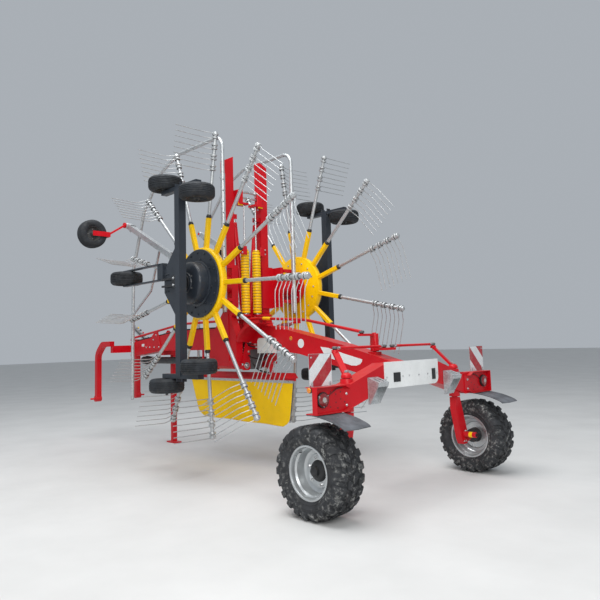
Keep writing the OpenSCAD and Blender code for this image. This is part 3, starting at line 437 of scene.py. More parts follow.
    def boxes(self, material, *rows):
        """Boxes, each from corner to corner with its chamfer, counted from the rear axle."""
        for low, high, *chamfer in rows:
            self.box(at(*low), at(*high), material, *chamfer)

    def rods(self, *rows):
        """Cylinders, each from end to end with what disc takes, counted from the rear axle."""
        for start, end, *rest in rows:
            self.disc(at(*start), at(*end), *rest)

    def bolts(self, axis, radius, *spots):
        """Bolts on spots that are counted from the rear axle."""
        for spot in spots:
            self.bolt(at(*spot), axis, radius)

    def piece(self, name, body, mirror=False, auto_smooth=35):
        """Makes the object, mirrored about Y = 0 if asked, and lets it ride on a body."""
        bmesh.ops.recalc_face_normals(self.bm, faces=self.bm.faces)
        mesh = bpy.data.meshes.new(name)
        if mirror:
            bmesh.ops.scale(self.bm, vec=(1, -1, 1), verts=self.bm.verts)
            bmesh.ops.reverse_faces(self.bm, faces=self.bm.faces)
        self.bm.to_mesh(mesh)
        self.bm.free()
        for material in self.materials:
            mesh.materials.append(material)
        obj = new_object(name, mesh)
        if auto_smooth:
            mesh.set_sharp_from_angle(angle=radians(auto_smooth))
        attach(obj, body)
        return obj


def one_piece(build, name, body="frame"):
    """Builds a piece that has no mirror image."""
    shape = Shape()
    build(shape)
    return shape.piece(name, body)


def both_sides(build, name, body, replaces=None):
    """Builds a piece for the left and its mirror image for the right."""
    made = []
    for side in ("left", "right"):
        shape = Shape()
        build(shape)
        obj = shape.piece(f"{name}_{side}", body.format(side=side), mirror=side == "right")
        if replaces:
            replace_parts(obj, replaces.format(side=side))
        made.append(obj)
    return made


def smooth_curve(points, steps=8):
    """Catmull-Rom curve through points."""
    points = [Vector(p) for p in points]
    padded = [2 * points[0] - points[1], *points, 2 * points[-1] - points[-2]]
    curve = []
    for a, b, c, d in zip(padded, padded[1:], padded[2:], padded[3:]):
        for i in range(steps):
            t = i / steps
            curve.append(0.5 * (2 * b + (c - a) * t + (2 * a - 5 * b + 4 * c - d) * t * t
                                + (3 * b - a - 3 * c + d) * t ** 3))
    return curve + [points[-1]]


SIDE_ON = Matrix(((1, 0, 0, 0), (0, 0, 1, 0), (0, 1, 0, 0), (0, 0, 0, 1)))
REAR_ON = Matrix(((0, 0, -1, 0), (1, 0, 0, 0), (0, 1, 0, 0), (0, 0, 0, 1)))


def side_plate(shape, outline, y, depth, material, chamfer=0.0):
    """A plate with an outline in X and Z that stands out from y."""
    shape.prism(outline, depth, material, Matrix.Translation(at(0, y, 0)) @ SIDE_ON, chamfer)


def rear_plate(shape, outline, x, depth, material, chamfer=0.0):
    """A plate with an outline in Y and Z that stands back from x."""
    shape.prism(outline, depth, material, Matrix.Translation(at(x, 0, 0)) @ REAR_ON, chamfer)


# Camera, lights and floor

CAMERA_BACK = (-3.869, 5.08, 1.5)
CAMERA_YAW, CAMERA_PITCH, CAMERA_ROLL = radians(-43.45), radians(5.81), radians(-1.66)
FOCAL_PIXELS, PHOTO_PIXELS, CENTRE_ROW, SENSOR_WIDTH = 619.74, 600, 278.26, 36.0
FLOOR_HALF = 60.0


def make_camera():
    data = bpy.data.cameras.new("camera")
    camera = new_object("camera", data)
    ahead = Vector((cos(CAMERA_YAW) * cos(CAMERA_PITCH),
                    sin(CAMERA_YAW) * cos(CAMERA_PITCH), sin(CAMERA_PITCH)))
    level = Vector((sin(CAMERA_YAW), -cos(CAMERA_YAW), 0))
    above = level.cross(ahead)
    right = cos(CAMERA_ROLL) * level + sin(CAMERA_ROLL) * above
    up = -sin(CAMERA_ROLL) * level + cos(CAMERA_ROLL) * above
    turn = Matrix((right, up, -ahead)).transposed().to_4x4()
    camera.matrix_world = Matrix.Translation(at(*CAMERA_BACK)) @ turn
    data.sensor_width = SENSOR_WIDTH
    data.lens = FOCAL_PIXELS / PHOTO_PIXELS * SENSOR_WIDTH
    data.shift_y = (CENTRE_ROW - PHOTO_PIXELS / 2) / PHOTO_PIXELS
    data.clip_end = 200.0
    bpy.context.scene.camera = camera


def area_light(name, place, target, size, power, colour=(1, 1, 1)):
    data = bpy.data.lights.new(name, "AREA")
    data.shape, data.size, data.energy, data.color = "DISK", size, power, colour
    light = new_object(name, data)
    light.location = place
    light.rotation_euler = (Vector(target) - Vector(place)).to_track_quat("-Z", "Y").to_euler()


def make_stage():
    bpy.context.scene.view_settings.view_transform = "Standard"
    world = bpy.data.worlds.new("sky")
    world.use_nodes = True
    background = world.node_tree.nodes["Background"]
    background.inputs["Color"].default_value = (0.8, 0.86, 0.93, 1)
    background.inputs["Strength"].default_value = 0.5
    bpy.context.scene.world = world
    area_light("overhead", (-1.5, 2.5, 11.0), (0, 0, 1.0), 9.0, 1000)
    area_light("rear_fill", (-9.0, 6.5, 5.5), (0, 0, 1.5), 6.0, 520, (1.0, 0.98, 0.95))
    g = Graph("pale_floor")
    tone = g.mix(g.span(g.noise(1.2), 0.3, 0.7), (0.6, 0.6, 0.59), (0.66, 0.66, 0.65))
    g.bump(g.noise(60.0), 0.05, 0.002)
    material = g.finish(tone, g.span(g.noise(6.0), 0.3, 0.7, 0.7, 0.85))
    mesh = bpy.data.meshes.new("floor")
    corners = [(x * FLOOR_HALF, y * FLOOR_HALF, 0) for x, y in ((-1, -1), (1, -1), (1, 1), (-1, 1))]
    mesh.from_pydata(corners, [], [(0, 1, 2, 3)])
    mesh.materials.append(material)
    new_object("floor", mesh)


make_camera()
make_stage()

# CAD nodes that stay: their material, and a small chamfer that catches the light

NODE_MATERIALS = {
    "chassis": SLATE, "driveline": GREY, "control_box": PALE, "tail_panel": WHITE, "tail_lamps": BLACK,
    "mud_flaps": FLAP, "swath_curtain": CURTAIN, "lift_rod": STEEL, "main_tyre": TYRE, "tine_arms": TINE_ZINC}
for same, stems in (
        (RED, "main_frame rear_axle_beam curtain_bar headstock parking_leg bellcrank steering_rod"),
        (RED, "tie_rod knuckle lift_arm rotor_head caster_fork lift_barrel"),
        (ZINC, "guard_hoop jockey_boom wheel_chocks warning_boards"),
        (SILVER, "hose_holder main_rim"),
        (YELLOW, "relief_spring rotor_hub"),
        (SMALL_TYRE, "bogie_wheel sense_wheel jockey_wheel")):
    NODE_MATERIALS.update(dict.fromkeys(stems.split(), same))
WELD_DISTANCE, BEVEL_WIDTH, BEVEL_ANGLE = 0.00005, 0.003, radians(40)
ROUND_NODES = ("guard_hoop", "steering_rod", "tie_rod", "lift_rod", "lift_barrel", "main_tyre", "main_rim",
               "bogie_wheel", "sense_wheel", "jockey_wheel", "tine_arms", "relief_spring", "swath_curtain")


def dress_nodes():
    for name, obj in NODES.items():
        stem = next(s for s in sorted(NODE_MATERIALS, key=len, reverse=True) if name.startswith(s))
        obj.data.materials.clear()
        obj.data.materials.append(NODE_MATERIALS[stem])
        if stem in ROUND_NODES:
            continue
        weld = obj.modifiers.new("weld", "WELD")
        weld.merge_threshold = WELD_DISTANCE
        bevel = obj.modifiers.new("bevel", "BEVEL")
        bevel.width, bevel.segments, bevel.limit_method = BEVEL_WIDTH, 2, "ANGLE"
        bevel.angle_limit = BEVEL_ANGLE
        bevel.harden_normals = True


dress_nodes()

# Main wheels

WHEEL = joint_at("main_wheel_spin_left")
BEAD_RADIUS, BEAD_HALF = 0.2155, 0.1295
LUG_PITCHES = 22
# Angles, in radians: how wide the lugs are, and how far the middle ones are turned from the outer ones
SHOULDER_WIDTH, MIDDLE_WIDTH, MIDDLE_TURN = 0.16, 0.185, 0.16
STUD_CIRCLE = 0.114


def wheel_point(radius, across, angle):
    return WHEEL + Vector((radius * cos(angle), across, radius * sin(angle)))


def tread_block(shape, stations, width, angle, hand):
    """One lug. Each station is (outer radius, across, base radius, base across, lean)."""
    rings = []
    for outer, across, base, base_across, lean in stations:
        a0, a1 = angle + lean - width / 2, angle + lean + width / 2
        edge, draft = 0.014, 0.016
        rings.append([
            wheel_point(base, hand * base_across, a0 - draft), wheel_point(outer - 0.004, hand * across, a0),
            wheel_point(outer, hand * across, a0 + edge), wheel_point(outer, hand * across, a1 - edge),
            wheel_point(outer - 0.004, hand * across, a1), wheel_point(base, hand * base_across, a1 + draft)])
    shape.rings(rings, TYRE, smooth=False, caps=True)


def main_tyre(shape):
    half = [(BEAD_RADIUS, BEAD_HALF), (0.222, 0.13), (0.236, 0.137), (0.25, 0.152), (0.254, 0.157),
            (0.26, 0.155), (0.285, 0.1635), (0.29, 0.1665), (0.297, 0.1645), (0.322, 0.1635), (0.344, 0.159),
            (0.362, 0.147), (0.373, 0.124), (0.378, 0.072), (0.379, 0.02)]
    shape.turned(both_halves(half), WHEEL, TYRE, Y_WAY, 96, closed=True)
    shoulder = [(0.3935, 0.072, 0.36, 0.066, 0.0), (0.3935, 0.112, 0.358, 0.112, -0.03),
                (0.389, 0.14, 0.35, 0.136, -0.05), (0.376, 0.16, 0.345, 0.148, -0.058),
                (0.352, 0.1685, 0.336, 0.156, -0.06), (0.322, 0.169, 0.318, 0.16, -0.06)]
    middle = [(0.3945, 0.006, 0.36, 0.0, 0.045), (0.395, 0.03, 0.36, 0.03, 0.01),
              (0.3945, 0.058, 0.36, 0.062, -0.03)]
    for i in range(LUG_PITCHES):
        for hand, shift in ((1, 0.0), (-1, 0.5)):
            angle = 2 * pi * (i + shift) / LUG_PITCHES
            tread_block(shape, shoulder, SHOULDER_WIDTH, angle, hand)
            tread_block(shape, middle, MIDDLE_WIDTH, angle + MIDDLE_TURN, hand)


def main_rim(shape):
    profile = [(0.2155, -0.138), (0.224, -0.1405), (0.2315, -0.138), (0.2325, -0.133), (0.229, -0.1296),
               (0.2152, -0.1296), (0.2152, 0.1296), (0.229, 0.1296), (0.2325, 0.133), (0.2315, 0.138),
               (0.224, 0.1405), (0.2155, 0.138), (0.209, 0.126), (0.208, 0.092), (0.194, 0.078), (0.19, 0.02),
               (0.184, 0.0), (0.17, -0.01), (0.148, -0.012), (0.14, 0.004), (0.08, 0.004), (0.08, -0.008),
               (0.14, -0.01), (0.15, -0.026), (0.176, -0.022), (0.186, -0.03), (0.19, -0.07),
               (0.206, -0.09), (0.207, -0.124)]
    shape.turned(profile, WHEEL, SILVER, Y_WAY, 72, closed=True)
    hub = [(0.0, 0.078), (0.03, 0.076), (0.04, 0.068), (0.044, 0.04), (0.07, 0.03), (0.086, 0.016),
           (0.092, 0.004), (0.092, 0.0), (0.078, -0.01), (0.074, -0.08), (0.058, -0.088), (0.0265, -0.088)]
    shape.turned(hub, WHEEL, BLACK, Y_WAY, 40)
    for i in range(6):
        angle = 2 * pi * (i + 0.25) / 6
        seat, foot, tip = (wheel_point(STUD_CIRCLE, across, angle) for across in (0.004, 0.01, 0.03))
        shape.bolt(seat, Y_WAY, 0.012)
        shape.disc(foot, tip, 0.006, STEEL, 10)
    valve = wheel_point(0.196, 0.085, 0.9)
    shape.disc(valve, valve + Vector((0, 0.028, 0)), 0.005, BLACK, 10)


both_sides(main_tyre, "main_tyre", "main_wheel_{side}", "main_tyre_{side}")
both_sides(main_rim, "main_rim", "main_wheel_{side}", "main_rim_{side}")

# Small wheels


def small_wheel(shape, centre, axis):
    half = [(0.1, 0.058), (0.108, 0.066), (0.116, 0.076), (0.132, 0.0815), (0.155, 0.0825),
            (0.174, 0.078), (0.189, 0.066), (0.197, 0.054), (0.2005, 0.046), (0.1955, 0.0445),
            (0.1955, 0.0395), (0.2015, 0.038), (0.2025, 0.023), (0.197, 0.0215), (0.197, 0.0165),
            (0.203, 0.015), (0.203, 0.003), (0.198, 0.0)]
    shape.turned(both_halves(half), centre, SMALL_TYRE, axis, 64, closed=True)
    rim = [(0.1005, -0.06), (0.107, -0.064), (0.109, -0.06), (0.104, -0.055), (0.097, -0.05), (0.094, -0.02),
           (0.086, -0.008), (0.06, -0.012), (0.04, -0.022), (0.036, -0.081), (0.0135, -0.081),
           (0.0135, 0.081), (0.036, 0.081), (0.04, 0.022), (0.06, 0.012), (0.086, 0.004), (0.094, 0.02),
           (0.097, 0.05), (0.104, 0.055), (0.109, 0.06), (0.107, 0.064), (0.1005, 0.06)]
    shape.turned(rim, centre, DUSTY, axis, 48, closed=True)
    way = Vector(axis)
    side = way.orthogonal().normalized()
    other = way.cross(side)
    for i in range(4):
        angle = pi * (i + 0.5) / 2
        spot = centre + 0.066 * (cos(angle) * side + sin(angle) * other)
        for hand in (1, -1):
            shape.bolt(spot + way * hand * 0.008, way * hand, 0.007)


SMALL_WHEELS = [(f"bogie_wheel_{{side}}_{i}", f"bogie_wheel_spin_left_{i}") for i in (1, 2, 3, 4)] + [
    ("sense_wheel_{side}", "sense_wheel_spin_left"), ("jockey_wheel_{side}", "jockey_wheel_spin_left")]
for node_name, joint_name in SMALL_WHEELS:
    spin = JOINTS[joint_name]
    both_sides(lambda shape: small_wheel(shape, Vector(spin["pos_m"]), Vector(spin["axis"])),
               node_name.format(side="tyred").replace("_tyred", ""), node_name, node_name)

# Rotors

ARM_COUNT = 13
ARM_PHASES = {"left": 80.73, "right": 98.71}
STUB_END, TIP_RADIUS, STUB_SIDE, ARM_RADIUS = 0.8, 1.844, 0.056, 0.0215
FIRST_TINE, TINE_PITCH, TINE_PAIRS = 1.375, 0.064, 4
HUB_RADIUS, HUB_INNER, HUB_OUTER = 0.44, 0.74, 0.835
TINE_KINK, TINE_END, WIRE = Vector((0, 0.15, -0.046)), Vector((0, 0.54, -0.03)), 0.0048
COIL_RADIUS, COIL_TURNS, COIL_STEPS, CLAMP_RADIUS = 0.035, 3.5, 40, 0.029


def arm_angles(side):
    """Angles of the arms from straight back, in degrees, between -180 and 180."""
    return [(ARM_PHASES[side] - i * 360 / ARM_COUNT + 1260) % 360 - 180 for i in range(ARM_COUNT)]


def tine_swing(angle):
    """The cam lays the tines of the rearward arms round the rotor and lets the others point outwards."""
    return radians(90 * min(1, max(0, (68 - abs(angle)) / 15)))


def arm_frame(angle):
    """Local axes of an arm: X along it, Y outwards from the machine, Z round the rotor."""
    return Matrix.Translation(ROTOR) @ Matrix.Rotation(radians(180 + angle), 4, "Y")


def rotor_hub(shape, side):
    rim = [(0.0905, HUB_INNER), (0.39, HUB_INNER), (0.4, HUB_INNER + 0.006), (0.418, HUB_INNER + 0.006),
           (0.434, HUB_INNER + 0.012), (HUB_RADIUS, HUB_INNER + 0.026), (HUB_RADIUS, HUB_OUTER - 0.026),
           (0.434, HUB_OUTER - 0.012), (0.422, HUB_OUTER - 0.003), (0.4, HUB_OUTER), (0.0905, HUB_OUTER)]
    shape.turned([(r, y - ROTOR.y) for r, y in rim], ROTOR, YELLOW, Y_WAY, 96, closed=True)
    for angle in arm_angles(side):
        local = arm_frame(angle)
        a, b = local @ Vector((0.405, 0, 0)), local @ Vector((STUB_END, 0, 0))
        shape.beam(a, b, STUB_SIDE, STUB_SIDE, YELLOW, 0.007, up=Y_WAY)
        for edge in (1, -1):
            height = edge * (STUB_SIDE / 2 + 0.001)
            weld_line = [local @ Vector((0.436, 0.027 * k, height)) for k in (-1, -0.5, 0, 0.5, 1)]
            shape.tube(weld_line, 0.004, YELLOW, 6)
    for spot in around(ROTOR, 0.352, 16, 0, HUB_INNER - ROTOR.y):
        shape.bolt(spot, (0, -1, 0), 0.009)


def double_tine(shape, local, x0, swing):
    """Two tine wires with a coil each, held on the arm by one clamp between them."""
    place = local @ Matrix.Translation((x0 + TINE_PITCH / 2, 0, 0)) @ Matrix.Rotation(swing, 4, "X")
    along = place.to_3x3() @ Vector((1, 0, 0))
    middle = place.translation
    shape.disc(middle - along * 0.009, middle + along * 0.009, CLAMP_RADIUS, TINE_ZINC, 20, 0.25)
    shape.bolt(place @ Vector((0, 0, CLAMP_RADIUS - 0.004)), place.to_3x3() @ Vector((0, 0, 1)), 0.008)
    for hand in (1, -1):
        end = TINE_PITCH / 2 * hand
        start = 0.011 * hand
        # Painted shade: a dark grey cylinder over the arm fills the inside of each coil.
        coil_shade_filler = [middle + along * (end + reach * hand) for reach in (-0.022, 0.002)]
        shape.disc(*coil_shade_filler, COIL_RADIUS - 0.003, GREY, 20, 0.1)
        wire = []
        for k in range(COIL_STEPS + 1):
            share = k / COIL_STEPS
            turn = 2 * pi * (COIL_TURNS * share + 0.25)
            x = start + (end - start) * share
            wire.append((x, -COIL_RADIUS * sin(turn), COIL_RADIUS * cos(turn)))
        wire += [(end, 0.075, -0.016), (end, TINE_KINK.y - 0.02, TINE_KINK.z + 0.004),
                 (end, TINE_KINK.y + 0.03, TINE_KINK.z - 0.001), (end, TINE_END.y, TINE_END.z)]
        shape.tube([place @ Vector(p) for p in wire], WIRE, TINE_ZINC, 6)


def tine_arms(shape, side):
    for angle in arm_angles(side):
        local = arm_frame(angle)
        along = lambda x: local @ Vector((x, 0, 0))
        shape.disc(along(STUB_END), along(STUB_END + 0.032), 0.033, BLACK, 24, 0.25)
        shape.disc(along(STUB_END + 0.03), along(STUB_END + 0.04), 0.028, BLACK, 20, 0.2)
        tube = [along(x) for x in (STUB_END + 0.03, 1.3, TIP_RADIUS - 0.03)]
        shape.tube(tube, ARM_RADIUS, TINE_ZINC, 20, caps=False)
        cap = [(0.0, 0.0), (0.031, 0.0), (0.031, 0.018), (0.027, 0.026), (0.017, 0.03), (0.0, 0.031)]
        shape.turned(cap, along(TIP_RADIUS - 0.031), TINE_ZINC, along(1) - along(0), 20)
        for pair in range(TINE_PAIRS):
            double_tine(shape, local, FIRST_TINE + 2 * pair * TINE_PITCH, tine_swing(angle))


ROTOR_PARTS = ((rotor_hub, "rotor_hub", "yellow_paint"), (tine_arms, "tine_arms", "galvanised"))
for rotor_side in ("left", "right"):
    for make, stem, slot_name in ROTOR_PARTS:
        rotor_shape = Shape()
        make(rotor_shape, rotor_side)
        made = rotor_shape.piece(f"{stem}_dressed_{rotor_side}", f"rotor_{rotor_side}",
                                 mirror=rotor_side == "right")
        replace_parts(made, f"{stem}_{rotor_side}")

# Disc, flange and bolts on the rotor's chassis

DISC_FACE, DRUM_FACE, POST_INNER = 0.865, 0.999, 1.1675


def chassis_trim(shape):
    for count, radius, size, turn in ((16, 0.372, 0.011, 0.0), (8, 0.292, 0.011, 0.2)):
        for spot in around(ROTOR_AXIS, radius, count, turn, DISC_FACE):
            shape.bolt(spot, Y_WAY, size, SLATE)
    shape.turned([(0.25, 0.0), (0.272, 0.0), (0.272, 0.012), (0.262, 0.018), (0.25, 0.02)],
                 ROTOR_AXIS + Vector((0, DISC_FACE, 0)), SLATE, Y_WAY, 64)
    face = ROTOR_AXIS + Vector((0, DRUM_FACE, 0))
    dome = [(0.2535, -0.1), (0.2545, -0.02), (0.251, -0.004), (0.24, 0.01), (0.222, 0.02), (0.196, 0.027),
            (0.16, 0.032), (0.124, 0.035), (0.118, 0.046), (0.104, 0.052), (0.078, 0.053)]
    shape.turned(dome, face, SLATE, Y_WAY, 64)
    for spot in around(ROTOR_AXIS, 0.14, 6, pi / 6, DRUM_FACE + 0.032):
        shape.bolt(spot, Y_WAY, 0.009, GREY)
    reach = POST_INNER - DRUM_FACE
    shaft = [(0.098, 0.05), (0.098, 0.068), (0.079, 0.072), (0.079, reach - 0.006), (0.0, reach - 0.004)]
    shape.turned(shaft, face, BLACK, Y_WAY, 48)
    for z in (0.1, -0.1):
        for x in (0.1, 0.145):
            shape.bolt(ROTOR_AXIS + Vector((x, 1.2095, z)), Y_WAY, 0.01, SLATE)


both_sides(chassis_trim, "chassis_trim", "rotor_head_{side}")

# Relief springs

SPRING_X, SPRING_Y = at(2.424, 0, 0).x, 0.095
SPRING_LOW, SPRING_HIGH, SPRING_TURNS, SPRING_RADIUS, SPRING_WAIST = 1.88, 2.69, 22, 0.056, 0.049


def relief_spring(shape):
    """A stack of flat rings between two end discs, round a dark grey filler that is painted shade between the
    rings, with the rod that runs up from it.
    """
    step = (SPRING_HIGH - SPRING_LOW) / SPRING_TURNS
    foot = Vector((SPRING_X, SPRING_Y, SPRING_LOW))
    # Painted shade: a dark grey cylinder fills the inside of the rings and shows between them.
    shape.disc(foot, foot + Vector((0, 0, SPRING_HIGH - SPRING_LOW)), SPRING_WAIST, GREY, 32, 0.02)
    edge, curve, bulge = SPRING_WAIST - 0.002, SPRING_RADIUS - 0.003, SPRING_RADIUS
    shares = [(edge, 0.0), (curve, 0.0), (bulge, 0.22), (bulge, 0.62), (curve, 0.84), (edge, 0.84)]
    ring = [(radius, step * share) for radius, share in shares]
    for k in range(SPRING_TURNS):
        shape.turned(ring, foot + Vector((0, 0, step * (k + 0.08))), YELLOW, sides=32, closed=True)
    foot, head = Vector((SPRING_X, SPRING_Y, 1.866)), Vector((SPRING_X, SPRING_Y, 2.7))
    shape.disc(foot, foot + Vector((0, 0, 0.012)), 0.046, STEEL, 32)
    shape.disc(head - Vector((0, 0, 0.006)), head + Vector((0, 0, 0.01)), 0.046, YELLOW, 32)
    shape.disc(head, (SPRING_X, SPRING_Y, 3.299), 0.01, STEEL, 16, 0.2)
    shape.bolt(head + Vector((0, 0, 0.01)), (0, 0, 1), 0.017)


both_sides(relief_spring, "relief_spring_coil", "lift_arm_{side}", "relief_spring_{side}")

# Fittings on the masts

MAST_IN = 0.225


def mast_trim(shape):
    """Inner bracket with its strut, clevis and tag, and a plate over the spring's top."""
    face = MAST_IN - 0.012
    bracket = [(2.489, 3.24), (2.56, 3.27), (2.56, 3.5), (2.53, 3.532), (2.489, 3.532)]
    side_plate(shape, bracket, face, 0.012, RED)
    spots = ((2.506, 3.29), (2.538, 3.33), (2.506, 3.5), (2.538, 3.47))
    shape.bolts((0, -1, 0), 0.01, *((x, face, z) for x, z in spots))
    shape.boxes(RED, ((2.405, 0.12, 3.326), (2.425, 0.2, 3.495), 0.004),
                ((2.425, 0.19, 3.326), (2.52, 0.2, 3.495), 0.003), ((2.49, 0.198, 3.35), (2.52, 0.215, 3.47)),
                ((2.352, 0.112, 2.632), (2.36, 0.2, 2.744), 0.003),
                ((2.352, 0.186, 2.65), (2.52, 0.2, 2.726), 0.003),
                ((2.49, 0.198, 2.66), (2.52, 0.226, 2.716)))
    shape.rods(((2.446, 0.006, 3.482), (2.446, 0.196, 3.472), 0.016, STEEL),
               ((2.446, 0.09, 3.4775), (2.446, 0.15, 3.474), 0.022, ZINC),
               ((2.44, 0.03, 3.402), (2.44, 0.118, 3.398), 0.013, STEEL),
               ((2.44, 0.118, 3.398), (2.44, 0.15, 3.398), 0.019, BLACK))
    shape.boxes(YELLOW, ((2.398, 0.128, 3.286), (2.402, 0.205, 3.322), 0.001),
                ((2.402, 0.128, 3.3), (2.42, 0.16, 3.306)))
    shape.bolts((-1, 0, 0), 0.008, (2.352, 0.19, 2.66), (2.352, 0.19, 2.716))


both_sides(mast_trim, "mast_trim", "lift_arm_{side}")

# Rear boards, lamps, panel and flaps

BOARD_LOW, BOARD_HIGH, BOARD_IN, BOARD_OUT = 1.11, 1.39, 1.12, 1.4
STRIPE = 0.1414


def warning_board(shape, hand):
    """A plate with diagonal red and white stripes, which lean outwards on both sides."""
    x = AXLE_X - 0.06
    y0, y1 = sorted((hand * BOARD_IN, hand * BOARD_OUT))
    shape.box((x + 0.0006, y0, BOARD_LOW), (x + 0.004, y1, BOARD_HIGH), ZINC, 0.0)
    corners = [(BOARD_IN, BOARD_LOW), (BOARD_OUT, BOARD_LOW), (BOARD_OUT, BOARD_HIGH), (BOARD_IN, BOARD_HIGH)]
    margin = 0.003
    inset = [(y + (margin if y == BOARD_IN else -margin), z + (margin if z == BOARD_LOW else -margin))
             for y, z in corners]
    verts = [shape.bm.verts.new((x, hand * y, z)) for y, z in inset]
    face = shape.bm.faces.new(verts if hand < 0 else verts[::-1])
    patch = [face, *verts, *face.edges]
    start = BOARD_IN + BOARD_LOW + 0.28 - 2 * STRIPE
    for k in range(1, 4):
        level = start + k * STRIPE
        cut = bmesh.ops.bisect_plane(shape.bm, geom=patch, plane_co=(x, 0, level),
                                     plane_no=(0, hand, 1))
        patch = list({g for g in patch + cut["geom"] + cut["geom_cut"] if g.is_valid})
    for f in {g for g in patch if isinstance(g, bmesh.types.BMFace)}:
        middle = f.calc_center_median()
        band = int((hand * middle.y + middle.z - start) // STRIPE)
        shape.keep([f], BOARD_RED if band % 2 else BOARD_WHITE)
    for z in (BOARD_LOW + 0.03, BOARD_HIGH - 0.03):
        for y in (BOARD_IN + 0.03, BOARD_OUT - 0.03):
            shape.bolt((x, hand * y, z), (-1, 0, 0), 0.006)


for board_hand, board_side in ((1, "left"), (-1, "right")):
    board = one_piece(lambda shape: warning_board(shape, board_hand), f"warning_board_{board_side}")
    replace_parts(board, "warning_boards")

LAMP = at(-0.098, 1.295, 1.0)
BACK = Vector((-1, 0, 0))


def tail_lamp(shape):
    shape.turned([(0.0, 0.0), (0.064, 0.0), (0.066, 0.004), (0.066, 0.022), (0.062, 0.026), (0.057, 0.026),
                  (0.057, 0.02)], LAMP, BLACK, BACK, 40)
    shape.turned([(0.0565, 0.018), (0.0565, 0.026), (0.05, 0.032), (0.026, 0.037), (0.024, 0.035)],
                 LAMP, RED_LENS, BACK, 48)
    shape.turned([(0.024, 0.03), (0.023, 0.037), (0.012, 0.0395), (0.0, 0.04)], LAMP, CLEAR_LENS, BACK, 32)
    for i in range(3):
        angle = radians(30 + 120 * i)
        shape.bolt(LAMP + Vector((-0.026, 0.0605 * cos(angle), 0.0605 * sin(angle))), BACK, 0.003)
    # amber marker at the outer end, on its bracket
    marker = at(-0.06, 1.4002, 1.085)
    shape.disc(marker + Vector((0, -0.012, 0)), marker + Vector((0, 0.004, 0)), 0.026, BLACK, 24)
    dome = [(0.024, 0.003), (0.024, 0.01), (0.016, 0.018), (0.0, 0.021)]
    shape.turned(dome, marker, AMBER_LENS, Y_WAY, 28)


lamp_pieces = both_sides(tail_lamp, "tail_lamp", "frame")
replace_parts(lamp_pieces[0], "tail_lamps")

FLAP_PATH = [(-0.015, 0.8755), (-0.08, 0.8755), (-0.15, 0.869), (-0.23, 0.856), (-0.3, 0.8405),
             (-0.37, 0.819), (-0.42, 0.8), (-0.448, 0.782)]


def mud_flap(shape):
    y0, y1, t = 1.08, 1.4, 0.004
    path = smooth_curve([at(x, 0, z) for x, z in FLAP_PATH], 4)
    rings = []
    for i, p in enumerate(path):
        sag = 0.006 * (i / len(path)) ** 2
        columns = [y0 + (y1 - y0) * k / 8 for k in range(9)]
        dip = [sag * (1 - abs(2 * k / 8 - 1)) for k in range(9)]
        top = [Vector((p.x, y, p.z + t - d)) for y, d in zip(columns, dip)]
        low = [Vector((p.x, y, p.z - t - d)) for y, d in zip(columns, dip)]
        rings.append(top + low[::-1])
    shape.rings(rings, FLAP, caps=True)
    for y in (y0 + 0.05, (y0 + y1) / 2, y1 - 0.05):
        shape.bolt((AXLE_X - 0.05, y, 0.8885), (0, 0, 1), 0.008)


flap_pieces = both_sides(mud_flap, "mud_flap", "frame")
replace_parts(flap_pieces[0], "mud_flaps")


def panel_trim(shape):
    face = -0.0965
    for y0, y1, z0, z1 in ((0.2, 0.305, 1.085, 1.175), (-0.385, -0.325, 1.075, 1.185)):
        shape.boxes(BLACK, ((face - 0.004, y0, z0), (face, y1, z1)),
                    ((face - 0.006, y0 + 0.012, z0 + 0.012), (face - 0.004, y1 - 0.012, z1 - 0.012)))
    shape.bolts(BACK, 0.006, *((face, y, 1.135) for y in (-0.41, -0.25, -0.1, 0.06, 0.16, 0.41)))


one_piece(panel_trim, "panel_trim")

# Swath curtain, hung from its bar

CURTAIN_TOP, CURTAIN_LOW = 1.03, 0.48
CURTAIN_REAR, CURTAIN_FRONT = 1.66, 3.845
CURTAIN_COLUMNS, CURTAIN_ROWS = 150, 44
CHAIN_LINKS, LINK_WIDTH, LINK_HALF = 30, 0.006, 0.0125


def curtain_edges(share):
    """Rear and front ends of the curtain at a share of the way down from its top."""
    corner = max(0.0, (share - 0.8) / 0.2) ** 2.4
    return CURTAIN_REAR + 0.085 * share + 0.105 * corner, CURTAIN_FRONT - 0.205 * share - 0.115 * corner


def make_curtain():
    shape = Shape()
    grid = []
    for j in range(CURTAIN_ROWS + 1):
        down = j / CURTAIN_ROWS
        rear, front = curtain_edges(down)
        row = []
        for i in range(CURTAIN_COLUMNS + 1):
            along = i / CURTAIN_COLUMNS
            z = CURTAIN_TOP + (CURTAIN_LOW + 0.018 * along - CURTAIN_TOP) * down
            wave = 0.012 * sin(5.1 * along * pi + 0.6) + 0.006 * sin(13.7 * along + 2.0 * down)
            row.append(shape.bm.verts.new(at(rear + (front - rear) * along, down ** 1.3 * wave, z)))
        grid.append(row)
    faces = [shape.bm.faces.new((a[i], a[i + 1], b[i + 1], b[i]))
             for a, b in zip(grid, grid[1:]) for i in range(CURTAIN_COLUMNS)]
    shape.keep(faces, CURTAIN, smooth=True)
    curtain = shape.piece("swath_curtain_sheet", "frame", auto_smooth=0)
    thick = curtain.modifiers.new("thickness", "SOLIDIFY")
    thick.thickness, thick.offset = 0.003, 0.0
    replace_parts(curtain, "swath_curtain")


make_curtain()


